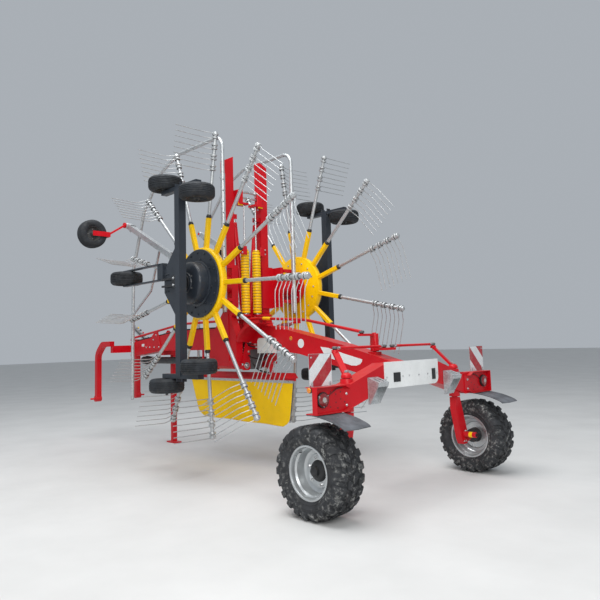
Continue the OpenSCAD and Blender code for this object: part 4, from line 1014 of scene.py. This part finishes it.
def curtain_trim(shape):
    """Aluminium strip that clamps the curtain's top hem, and the chain down its rear edge."""
    for hand in (1, -1):
        shape.boxes(ZINC, ((CURTAIN_REAR - 0.01, hand * 0.0035, CURTAIN_TOP - 0.028),
                           (CURTAIN_FRONT, hand * 0.0085, CURTAIN_TOP + 0.004)))
        spots = ((CURTAIN_REAR + 0.08 + k * 0.225, hand * 0.0085, CURTAIN_TOP - 0.012) for k in range(10))
        shape.bolts((0, hand, 0), 0.006, *spots)
    for k in range(CHAIN_LINKS):
        share = (k + 0.5) / CHAIN_LINKS * 0.86 + 0.03
        rear, _ = curtain_edges(share)
        z = CURTAIN_TOP + (CURTAIN_LOW - CURTAIN_TOP) * share
        loop = []
        for i in range(12):
            angle = 2 * pi * i / 12
            wide = LINK_WIDTH * cos(angle)
            high = LINK_HALF * sin(angle) + (0.004 if sin(angle) > 0 else -0.004)
            loop.append(at(rear - 0.004 + (wide if k % 2 else 0), 0 if k % 2 else wide, z + high))
        shape.tube(loop, 0.0026, GREY, 6, closed=True)


one_piece(curtain_trim, "curtain_trim")

# Rods, tubes and hoops with smooth walls

def rounded(points, radius, steps=8):
    """A path with a round bend at each corner."""
    points = [Vector(p) for p in points]
    path = [points[0]]
    for a, b, c in zip(points, points[1:], points[2:]):
        into, out = (b - a).normalized(), (c - b).normalized()
        turn = into.angle(out)
        back = radius * tan(turn / 2)
        centre = b + (out - into).normalized() * radius / cos(turn / 2)
        start = b - into * back - centre
        across = into * radius
        path += [centre + start * cos(turn * k / steps) + across * sin(turn * k / steps)
                 for k in range(steps + 1)]
    return path + [points[-1]]


def ball_joint(shape, x, y, low, radius=0.026):
    """Ball joint with its rubber boot below and a dome above."""
    boot = [(0.0, 0.0), (0.62, 0.0), (0.86, 0.003), (0.7, 0.006), (0.9, 0.009)]
    dome = [(0.9, 0.009), (1, 0.011), (1, 0.025), (0.84, 0.03), (0.45, 0.033), (0.0, 0.034)]
    for profile, material in ((boot, BLACK), (dome, GREY)):
        shape.turned([(share * radius, z) for share, z in profile], at(x, y, low), material, sides=24)


TIE_X, TIE_Y, TIE_SEAT, CRANK_X, CRANK_ARM = 0.2, 0.8, 1.4105, 0.38, 0.2


def tie_rod(shape):
    seat = TIE_SEAT + 0.016
    for y, way in ((0.065, 1), (TIE_Y, -1)):
        ball_joint(shape, TIE_X, y, TIE_SEAT)
        neck, hand = at(TIE_X, y, seat), Vector((0, way, 0))
        shape.disc(neck + 0.02 * hand, neck + 0.075 * hand, 0.01, STEEL, 16)
        shape.drum(neck + 0.052 * hand, hand, 0.017, 0.014, STEEL, 6)
    shape.rods(((TIE_X, 0.125, seat), (TIE_X, TIE_Y - 0.06, seat), 0.0135, RED, 24, 0.2))


def steering_rod(shape):
    path = [at(CRANK_X, CRANK_ARM, 1.58), at(1.3, 0.12, 1.745), at(2.1, 0.12, 1.8),
            at(3.9, 0.12, 1.8), at(5.45, 0.067, 1.63)]
    shape.tube(rounded(path, 0.5, 5), 0.017, RED, 24)
    for x, y, low in ((CRANK_X, CRANK_ARM, 1.5605), (5.45, 0.067, 1.6105)):
        ball_joint(shape, x, y, low, 0.029)
    along = (path[1] - path[2]).normalized()
    shape.disc(path[2] + along * 0.05, path[2] + along * 0.19, 0.0215, YELLOW, 24, 0.2)


both_sides(tie_rod, "tie_rod_smooth", "tie_rod_{side}", "tie_rod_{side}")
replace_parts(one_piece(steering_rod, "steering_rod_smooth", "steering_rod"), "steering_rod")

HOOP_Y, HOOP_RADIUS, SLEEVE_RADIUS = 0.578, 0.024, 0.03
HOOP_PATH = [(2.225, 1.88), (2.225, 4.085), (3.26, 4.085), (3.68, 3.93), (4.16, 3.45), (4.48, 2.63),
             (4.52, 0.73)]


def guard_hoop(shape):
    path = rounded([at(x, HOOP_Y, z) for x, z in HOOP_PATH], 0.15)
    shape.tube(path, HOOP_RADIUS, ZINC, 24)
    x = HOOP_PATH[0][0]
    shape.rods(((x, HOOP_Y, 1.9), (x, HOOP_Y, 3.6), SLEEVE_RADIUS, ZINC, 32, 0.1))
    # Painted shade: thin black discs in two rows on the sleeve stand for its holes.
    for k in range(12):
        for angle in (0.5, 2.64):
            out = Vector((cos(angle), sin(angle), 0))
            spot = at(x, HOOP_Y, 1.98 + 0.14 * k) + out * (SLEEVE_RADIUS - 0.0006)
            shape.disc(spot, spot + out * 0.001, 0.0075, BLACK, 14)
    shape.bolts(Y_WAY, 0.011, *((x, HOOP_Y + SLEEVE_RADIUS - 0.001, z) for z in (2.9, 3.54)))
    plug = [(0.0, -0.02), (0.02, -0.02), (HOOP_RADIUS, 0.0), (0.02, 0.004), (0.0, 0.005)]
    for end, way in ((path[0], path[0] - path[1]), (path[-1], path[-1] - path[-2])):
        shape.turned(plug, end, BLACK, way.normalized(), 24)
    strut = [at(x, HOOP_Y, z) for x, z in ((3.72, 2.86), (3.975, 2.273), (4.505, 1.95))]
    for p, q in zip(strut, strut[1:]):
        shape.beam(p, q, 0.024, 0.03, ZINC, 0.003, up=Y_WAY)
    shape.rods(((3.72, HOOP_Y - 0.012, 2.88), (3.72, 0.61, 2.88), 0.02, ZINC))
    shape.bolts((0, -1, 0), 0.011, (3.72, HOOP_Y - 0.012, 2.88))


both_sides(guard_hoop, "guard_hoop_smooth", "rotor_head_{side}", "guard_hoop_{side}")

CYLINDER_FOOT, CYLINDER_EYE = at(2.53, 0.06, 1.9), at(2.53, 0.185, 3.15)
CYLINDER_WAY = (CYLINDER_EYE - CYLINDER_FOOT).normalized()


def eye(shape, place, radius, half, material):
    shape.disc(place - Vector((half, 0, 0)), place + Vector((half, 0, 0)), radius, material, 28, 0.08)


def lift_barrel(shape):
    profile = [(0.0, 0.03), (0.03, 0.03), (0.034, 0.036), (0.035, 0.046), (0.035, 1.12), (0.033, 1.124),
               (0.033, 1.128), (0.035, 1.132), (0.035, 1.172), (0.031, 1.18), (0.0205, 1.18), (0.0205, 1.12)]
    shape.turned(profile, CYLINDER_FOOT, RED, CYLINDER_WAY, 32)
    eye(shape, CYLINDER_FOOT, 0.038, 0.035, RED)
    for reach in (0.09, 1.09):
        port = CYLINDER_FOOT + CYLINDER_WAY * reach + Vector((0.03, 0, 0))
        shape.disc(port, port + Vector((0.018, 0, 0)), 0.011, STEEL, 16)
        shape.bolt(port + Vector((0.017, 0, 0)), X_WAY, 0.009, washer=False)
    route = ((0.09, 0.054), (0.13, 0.058), (0.2, 0.045), (0.8, 0.045), (1.0, 0.045), (1.05, 0.058),
             (1.09, 0.054))
    pipe = [CYLINDER_FOOT + CYLINDER_WAY * reach + Vector((x, 0, 0)) for reach, x in route]
    shape.tube(smooth_curve(pipe, 5), 0.005, STEEL, 10)


def lift_rod(shape):
    length = (CYLINDER_EYE - CYLINDER_FOOT).length
    shape.turned([(0.0, 0.162), (0.0195, 0.162), (0.0195, length - 0.02), (0.0, length - 0.016)],
                 CYLINDER_FOOT, STEEL, CYLINDER_WAY, 32)
    eye(shape, CYLINDER_EYE, 0.024, 0.02, GREY)


both_sides(lift_barrel, "lift_barrel_smooth", "lift_barrel_{side}", "lift_barrel_{side}")
both_sides(lift_rod, "lift_rod_smooth", "lift_rod_{side}", "lift_rod_{side}")

# Blank fields, reflectors and hoses on the beam

BEAM_SIDE = 0.1


def beam_fields(shape):
    """A white field left blank, a blank white disc and two amber reflectors."""
    field = [(1.085, 1.432), (0.966, 1.419), (0.738, 1.357), (0.471, 1.292), (0.478, 1.268), (0.5, 1.244),
             (0.553, 1.227), (0.625, 1.228), (0.971, 1.312), (1.033, 1.352)]
    side_plate(shape, field, BEAM_SIDE, 0.0012, WHITE)
    shape.rods(((1.405, BEAM_SIDE, 1.476), (1.405, BEAM_SIDE + 0.0012, 1.476), 0.052, WHITE, 40))
    reflector = [(0.0, 0.0), (0.025, 0.0), (0.025, 0.004), (0.021, 0.007), (0.0, 0.008)]
    for x, z in ((1.574, 1.539), (2.97, 1.614)):
        shape.turned(reflector, at(x, BEAM_SIDE, z), AMBER_LENS, Y_WAY, 28)
    shape.boxes(WHITE, ((5.02, BEAM_SIDE, 1.49), (5.1, BEAM_SIDE + 0.0015, 1.53)))


both_sides(beam_fields, "beam_fields", "frame")


def beam_trim(shape):
    """Triangular bracket at the front, bolts of the wings, and the cover of the gearbox."""
    bracket = [(4.6, 1.726), (4.66, 1.732), (5.01, 1.47), (5.01, 1.436), (4.5, 1.436)]
    side_plate(shape, bracket, BEAM_SIDE, 0.01, RED, 0.002)
    spots = ((4.56, 1.475), (4.7, 1.475), (4.83, 1.475), (4.94, 1.475), (4.64, 1.66), (4.72, 1.59))
    shape.bolts(Y_WAY, 0.009, *((x, BEAM_SIDE + 0.01, z) for x, z in spots))
    for x, way in ((2.3, -1), (2.96, 1)):
        shape.bolts((way, 0, 0), 0.011, (x, 0.135, 1.5), (x, 0.165, 1.39), (x, 0.13, 1.3), (x, 0.262, 1.235))
        shape.rods(((x, 0.2, 1.218), (x + way * 0.01, 0.2, 1.218), 0.04, STEEL, 32))
        shape.bolts((way, 0, 0), 0.015, (x + way * 0.01, 0.2, 1.218))
    cover = at(2.43, 0.15, 1.345)
    for spot in around(cover, 0.056, 8, pi / 8):
        shape.bolt(spot, Y_WAY, 0.005)
    shape.turned([(0.0, 0.0), (0.042, 0.0), (0.042, 0.006), (0.036, 0.01), (0.014, 0.012), (0.0, 0.01)],
                 cover, STEEL, Y_WAY, 32)
    ribs = (2.42, 2.5, 2.58)
    shape.boxes(GREY, *(((x - 0.006, 0.114, 1.17), (x + 0.006, 0.124, 1.265), 0.002) for x in ribs))
    # plates that stiffen the beam where the arms fold
    stiffener = [(2.335, 1.7), (2.925, 1.7), (2.925, 1.64), (2.7, 1.52), (2.56, 1.52), (2.335, 1.64)]
    side_plate(shape, stiffener, BEAM_SIDE, 0.008, RED, 0.002)


def arched_guard(shape):
    """Curved sheet between the beam and the arm's root, with a deep rim along its outer edge."""
    points = [(2.284, 1.512), (2.248, 1.58), (2.16, 1.655), (2.02, 1.715), (1.868, 1.73)]
    arc = smooth_curve([Vector((x, 0, z)) for x, z in points], 5)
    for y0, y1, depth in ((BEAM_SIDE, 0.3405, 0.005), (0.3405, 0.345, 0.038)):
        rings = []
        for i, p in enumerate(arc):
            way = (arc[min(i + 1, len(arc) - 1)] - arc[max(i - 1, 0)]).normalized()
            q = p - Vector((-way.z, 0, way.x)) * depth
            rings.append([at(p.x, y0, p.z), at(p.x, y1, p.z), at(q.x, y1, q.z), at(q.x, y0, q.z)])
        shape.rings(rings, RED, caps=True)


def shaft_guard(shape):
    """Black guard tube of the drive shaft with a ribbed cone at each end."""
    sleeve = [(0.0455, 0.0), (0.052, 0.0), (0.052, 1.9), (0.0455, 1.9)]
    shape.turned(sleeve, at(3.0, 0, 1.27), BLACK, X_WAY, 32)
    ribs = [(0.0455, 0.0), (0.07, 0.0)]
    for k in range(8):
        radius, start = 0.07 - 0.0022 * k, 0.024 * k
        ribs += [(radius, start + 0.006), (radius, start + 0.016), (radius - 0.008, start + 0.022)]
    for start, hand in ((2.8, 1), (5.11, -1)):
        shape.turned([*ribs, (0.0455, 0.2)], at(start, 0, 1.27), BLACK, (hand, 0, 0), 32)


def hose(shape, points, radius=0.0105):
    path = smooth_curve([at(*p) for p in points], 7)
    shape.tube(path, radius, HOSE, 10)
    for end, way in ((path[0], path[1] - path[0]), (path[-1], path[-2] - path[-1])):
        way = way.normalized()
        shape.disc(end - way * 0.006, end + way * 0.034, radius * 1.25, STEEL, 14)
        shape.drum(end + way * 0.006, way, radius * 1.5, 0.01, STEEL, 6)


def hoses(shape):
    """Hoses from the drive and the control box, three clipped along the beam, and the shaft's guard."""
    hose(shape, [(2.405, 0.135, 1.412), (2.418, 0.15, 1.465), (2.38, 0.16, 1.496), (2.31, 0.165, 1.476),
                 (2.23, 0.165, 1.452), (2.13, 0.16, 1.446)])
    hose(shape, [(2.455, 0.14, 1.412), (2.486, 0.165, 1.48), (2.45, 0.18, 1.53), (2.375, 0.185, 1.522),
                 (2.3, 0.185, 1.494), (2.13, 0.18, 1.478)], 0.009)
    hose(shape, [(2.365, 0.15, 1.345), (2.27, 0.165, 1.33), (2.215, 0.16, 1.23), (2.11, 0.15, 1.16),
                 (2.062, 0.04, 1.12), (2.056, 0.018, 1.11)])
    hose(shape, [(1.93, 0.15, 1.372), (1.945, 0.15, 1.33), (2.05, 0.14, 1.28), (2.2, 0.11, 1.3),
                 (2.372, 0.09, 1.32)], 0.008)
    run = ((2.98, 1.716), (3.2, 1.717), (3.96, 1.717), (4.6, 1.654), (5.12, 1.603), (5.3, 1.587))
    for y in (0.02, 0.046, 0.072):
        shape.tube([at(x, y, z) for x, z in run], 0.0095, HOSE, 10)
    clips = ((3.05, 1.706), (3.5, 1.706), (3.94, 1.706), (4.45, 1.656), (5.0, 1.602))
    shape.boxes(BLACK, *(((x - 0.012, 0.004, z), (x + 0.012, 0.088, z + 0.024), 0.003) for x, z in clips))
    shaft_guard(shape)


one_piece(hoses, "hoses")
both_sides(arched_guard, "arched_guard", "frame")
both_sides(beam_trim, "beam_trim", "frame")


def box_trim(shape):
    """Lid, screws and glands of the control box."""
    face = 0.21
    lid = [(1.85, 1.384), (2.05, 1.384), (2.056, 1.5), (2.04, 1.53), (2.01, 1.542), (1.89, 1.542),
           (1.86, 1.53), (1.844, 1.5)]
    side_plate(shape, lid, face, 0.006, PALE, 0.003)
    screws = ((1.862, 1.396), (2.038, 1.396), (1.87, 1.526), (2.03, 1.526))
    shape.bolts(Y_WAY, 0.005, *((x, face + 0.006, z) for x, z in screws))
    shape.rods(*(((x, 0.15, 1.37), (x, 0.15, 1.35), 0.013, BLACK, 16) for x in (1.87, 1.93, 1.99, 2.04)))


one_piece(box_trim, "control_box_trim")


def holder_trim(shape):
    """Comb along the hose holder, and the couplers parked in it."""
    a, b = at(5.2, -0.106, 1.542), at(5.77, -0.106, 1.846)
    rise = (a - b).normalized().cross(Vector(Y_WAY))
    rise = rise if rise.z > 0 else -rise
    for k in range(7):
        foot = a + (b - a) * (k + 0.5) / 7
        shape.beam(foot - rise * 0.012, foot + rise * 0.03, 0.01, 0.04, SILVER, 0.002, up=Y_WAY)
    for k in range(6):
        spot = a + (b - a) * (k + 1) / 7 + rise * 0.004
        seat, front, mouth = (spot + Vector((0, y, 0)) for y in (0.03, -0.04, -0.062))
        shape.disc(front, seat, 0.013, STEEL, 18)
        shape.disc(mouth, front, 0.016, (RED, BLACK, YELLOW)[k % 3], 18)
        bend, end = spot + Vector((-0.02, 0.05, 0.0)), at(5.215, -0.03 + 0.004 * k, 1.606)
        tail = [seat, bend, (bend + end) / 2 + Vector((0, 0.01, 0.01)), end]
        shape.tube(smooth_curve(tail, 6), 0.007, HOSE, 8)


one_piece(holder_trim, "hose_holder_trim")

# Rear axle: folded lamp boxes, each rivet hole a black disc of painted shade, ribbed chocks


def lamp_box(shape):
    """Folded edges round the lamp, a black disc of painted shade for each rivet hole, its bolts, cable and
    the board's two lugs.
    """
    rear = -0.098
    top = [(1.4, 1.11), (1.045, 1.11), (0.972, 1.076), (0.974, 1.071), (1.046, 1.105), (1.4, 1.105)]
    low = [(1.4, 0.88), (1.02, 0.88), (0.952, 0.908), (0.954, 0.913), (1.021, 0.885), (1.4, 0.885)]
    end = [(1.395, 0.885), (1.4, 0.885), (1.4, 1.105), (1.395, 1.105)]
    for outline in (top, low, end):
        rear_plate(shape, outline, rear, 0.048, RED)
    # Painted shade: each rivet hole is a thin black disc on the face.
    rivet_hole_shades = ((1.185, 1.06), (1.12, 1.035), (1.06, 1.05), (1.06, 0.99), (1.12, 0.965), (1.01, 0.96),
             (1.1, 0.915), (1.19, 0.93))
    shape.rods(*(((rear, y, z), (rear - 0.0012, y, z), 0.0065, BLACK, 14) for y, z in rivet_hole_shades))
    shape.bolts(BACK, 0.009, (rear, 0.985, 1.03), (rear, 0.985, 0.93))
    cable = [(-0.096, 1.235, 1.02), (-0.112, 1.2, 1.045), (-0.108, 1.12, 1.08), (-0.104, 1.04, 1.086)]
    shape.tube(smooth_curve([at(*p) for p in cable], 6), 0.004, HOSE, 8)
    lugs = (1.15, 1.37)
    shape.boxes(ZINC, *(((-0.066, y - 0.012, 1.104), (-0.0595, y + 0.012, 1.15), 0.001) for y in lugs))


both_sides(lamp_box, "lamp_box", "frame")


def wheel_chock(shape):
    """A folded wheel chock, thick above and pointed below, with two slots through its upper face and a black
    sheet of painted shade under them.
    """
    x0, x1, z0, z1 = -0.092, -0.222, 0.905, 1.15
    sheet = 0.005
    side = [(x0, z1), (x1, z1 - 0.045), (x1 + 0.012, z1 - 0.085), (x0 - 0.018, z0), (x0, z0 + 0.015)]
    for y in (0.537, 0.678):
        side_plate(shape, side, y, sheet, ZINC)
        for k in range(4):
            z = z1 - 0.03 - 0.14 * (0.16 + 0.19 * k)
            end = x1 + 0.022 + (x0 - x1 - 0.04) * max(0.0, (z1 - 0.085 - z) / 0.111)
            outer = y + sheet if y > 0.6 else y - 0.003
            shape.boxes(ZINC, ((x0 - 0.01, outer, z - 0.004), (end, outer + 0.003, z + 0.004)))
    for y0, y1, u0, u1 in ((0.535, 0.572, 0.0, 1.0), (0.592, 0.624, 0.0, 1.0), (0.644, 0.685, 0.0, 1.0),
                           (0.571, 0.593, 0.0, 0.22), (0.623, 0.645, 0.0, 0.22), (0.571, 0.593, 0.84, 1.0),
                           (0.623, 0.645, 0.84, 1.0)):
        upper = [(x0 + (x1 - x0) * u, z1 - 0.045 * u) for u in (u0, u1)]
        side_plate(shape, upper + [(x, z - sheet) for x, z in reversed(upper)], y0, y1 - y0, ZINC)
    nose = [(x1, z1 - 0.045), (x1 + 0.012, z1 - 0.085), (x1 + 0.017, z1 - 0.083), (x1 + 0.005, z1 - 0.045)]
    back = [(x0, z1), (x0, z0), (x0 - 0.004, z0), (x0 - 0.004, z1)]
    # Painted shade: a black sheet under the upper face, seen through the slots.
    slot_shade_sheet = [(x0 - 0.006, z1 - 0.02), (x1 + 0.01, z1 - 0.062), (x1 + 0.012, z1 - 0.066),
              (x0 - 0.006, z1 - 0.026)]
    side_plate(shape, nose, 0.535, 0.15, ZINC)
    side_plate(shape, back, 0.535, 0.15, ZINC)
    side_plate(shape, slot_shade_sheet, 0.542, 0.136, BLACK)
    handle = ((0.004, 0.58, 0.05), (-0.002, 0.58, 0.02), (-0.002, 0.64, 0.02), (0.004, 0.64, 0.05))
    shape.tube([at(x1 + x, y, z1 - down) for x, y, down in handle], 0.005, ZINC, 10)


chocks = both_sides(wheel_chock, "wheel_chock", "frame")
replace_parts(chocks[0], "wheel_chocks")

# Knuckles


def knuckle_trim(shape):
    """Marker tube on the leg, the cap of the king pin and the flange's bolts."""
    shape.bolts((0, 0, 1), 0.016, (0, 0.87, 1.208))
    y, z = 0.955, 0.44
    shape.rods(((-0.036, y, z), (-0.19, y, z), 0.03, RED, 28, 0.15),
               ((-0.11, y, z), (-0.15, y, z), 0.0306, YELLOW, 28, 0.02),
               ((-0.189, y, z), (-0.193, y, z), 0.02, BLACK))
    shape.bolts((0, 0, -1), 0.013, (0.2, TIE_Y, 1.381))
    for x, way in ((-0.038, -1), (0.038, 1)):
        shape.bolts((way, 0, 0), 0.009, (x, 0.985, 0.47), (x, 0.985, 0.365), (x, 0.95, 0.365))


both_sides(knuckle_trim, "knuckle_trim", "knuckle_{side}")

# Rotor heads, bogies and casters


def head_trim(shape):
    """Bolts and collar of the head, the post's pivot block and fork, and the bogies' clamps."""
    for spot in around(ROTOR_AXIS, 0.192, 12, pi / 12, 0.64):
        shape.bolt(spot, (0, -1, 0), 0.009)
    shape.turned([(0.09, -0.002), (0.124, -0.002), (0.124, 0.014), (0.11, 0.022), (0.108, 0.05)],
                 ROTOR_AXIS + Vector((0, 0.56, 0)), RED, Y_WAY, 48)
    shape.boxes(BLACK, ((2.248, 1.17, 2.16), (2.33, 1.256, 2.296), 0.008))
    for z in (2.188, 2.268):
        shape.beam(at(2.325, 1.236, z), at(2.56, 1.236, z), 0.03, 0.022, BLACK, 0.004)
        shape.bolts(Y_WAY, 0.011, (2.29, 1.256, z))
    for z in (3.31, 1.146):
        for x, hand in ((2.1525, -1), (2.2475, 1)):
            ends = [at(x + hand * 0.004, 1.215, z + rise) for rise in (-0.06, 0.06)]
            shape.beam(*ends, 0.07, 0.01, SLATE, 0.002, up=X_WAY)
            for rise in (-0.045, 0.045):
                shape.bolt(at(x + hand * 0.009, 1.215, z + rise), (hand, 0, 0), 0.01, BLACK)


both_sides(head_trim, "rotor_head_trim", "rotor_head_{side}")

BOGIE_PINS = [(2.515, 3.31, 1), (1.85, 3.31, -1), (1.85, 1.146, 1), (2.515, 1.146, -1)]


def bogie_trim(shape):
    cap = [(0.0, 0.0), (0.021, 0.0), (0.021, 0.006), (0.016, 0.006), (0.016, 0.018), (0.01, 0.021),
           (0.0, 0.021)]
    for x, z, way in BOGIE_PINS:
        shape.turned(cap, at(x, 1.215, z + way * 0.2), BLACK, (0, 0, way), 6, smooth=False)
        shape.rods(((x, 1.215, z + way * 0.024), (x, 1.215, z + way * 0.0295), 0.03, BLACK))


both_sides(bogie_trim, "bogie_trim", "rotor_head_{side}")

BOOM_ANGLE = radians(26.5)


def boom_trim(shape):
    """Black clamps over the boom's bands, and their bolts."""
    turn = Matrix.Translation(Vector((ROTOR.x, 0.648, ROTOR.z))) @ Matrix.Rotation(-BOOM_ANGLE, 4, "Y")
    for reach in (0.43, 1.02, 2.239):
        for z in (0.0435, -0.0435):
            a, b = (turn @ Vector((reach + s * 0.014, 0, z)) for s in (-1, 1))
            shape.beam(a, b, 0.07, 0.01, BLACK, 0.002)
            for y in (-0.024, 0.024):
                way = turn.to_3x3() @ Vector((0, 0, copysign(1, z)))
                shape.bolt(turn @ Vector((reach, y, z + copysign(0.005, z))), way, 0.007)


both_sides(boom_trim, "boom_trim", "rotor_head_{side}")
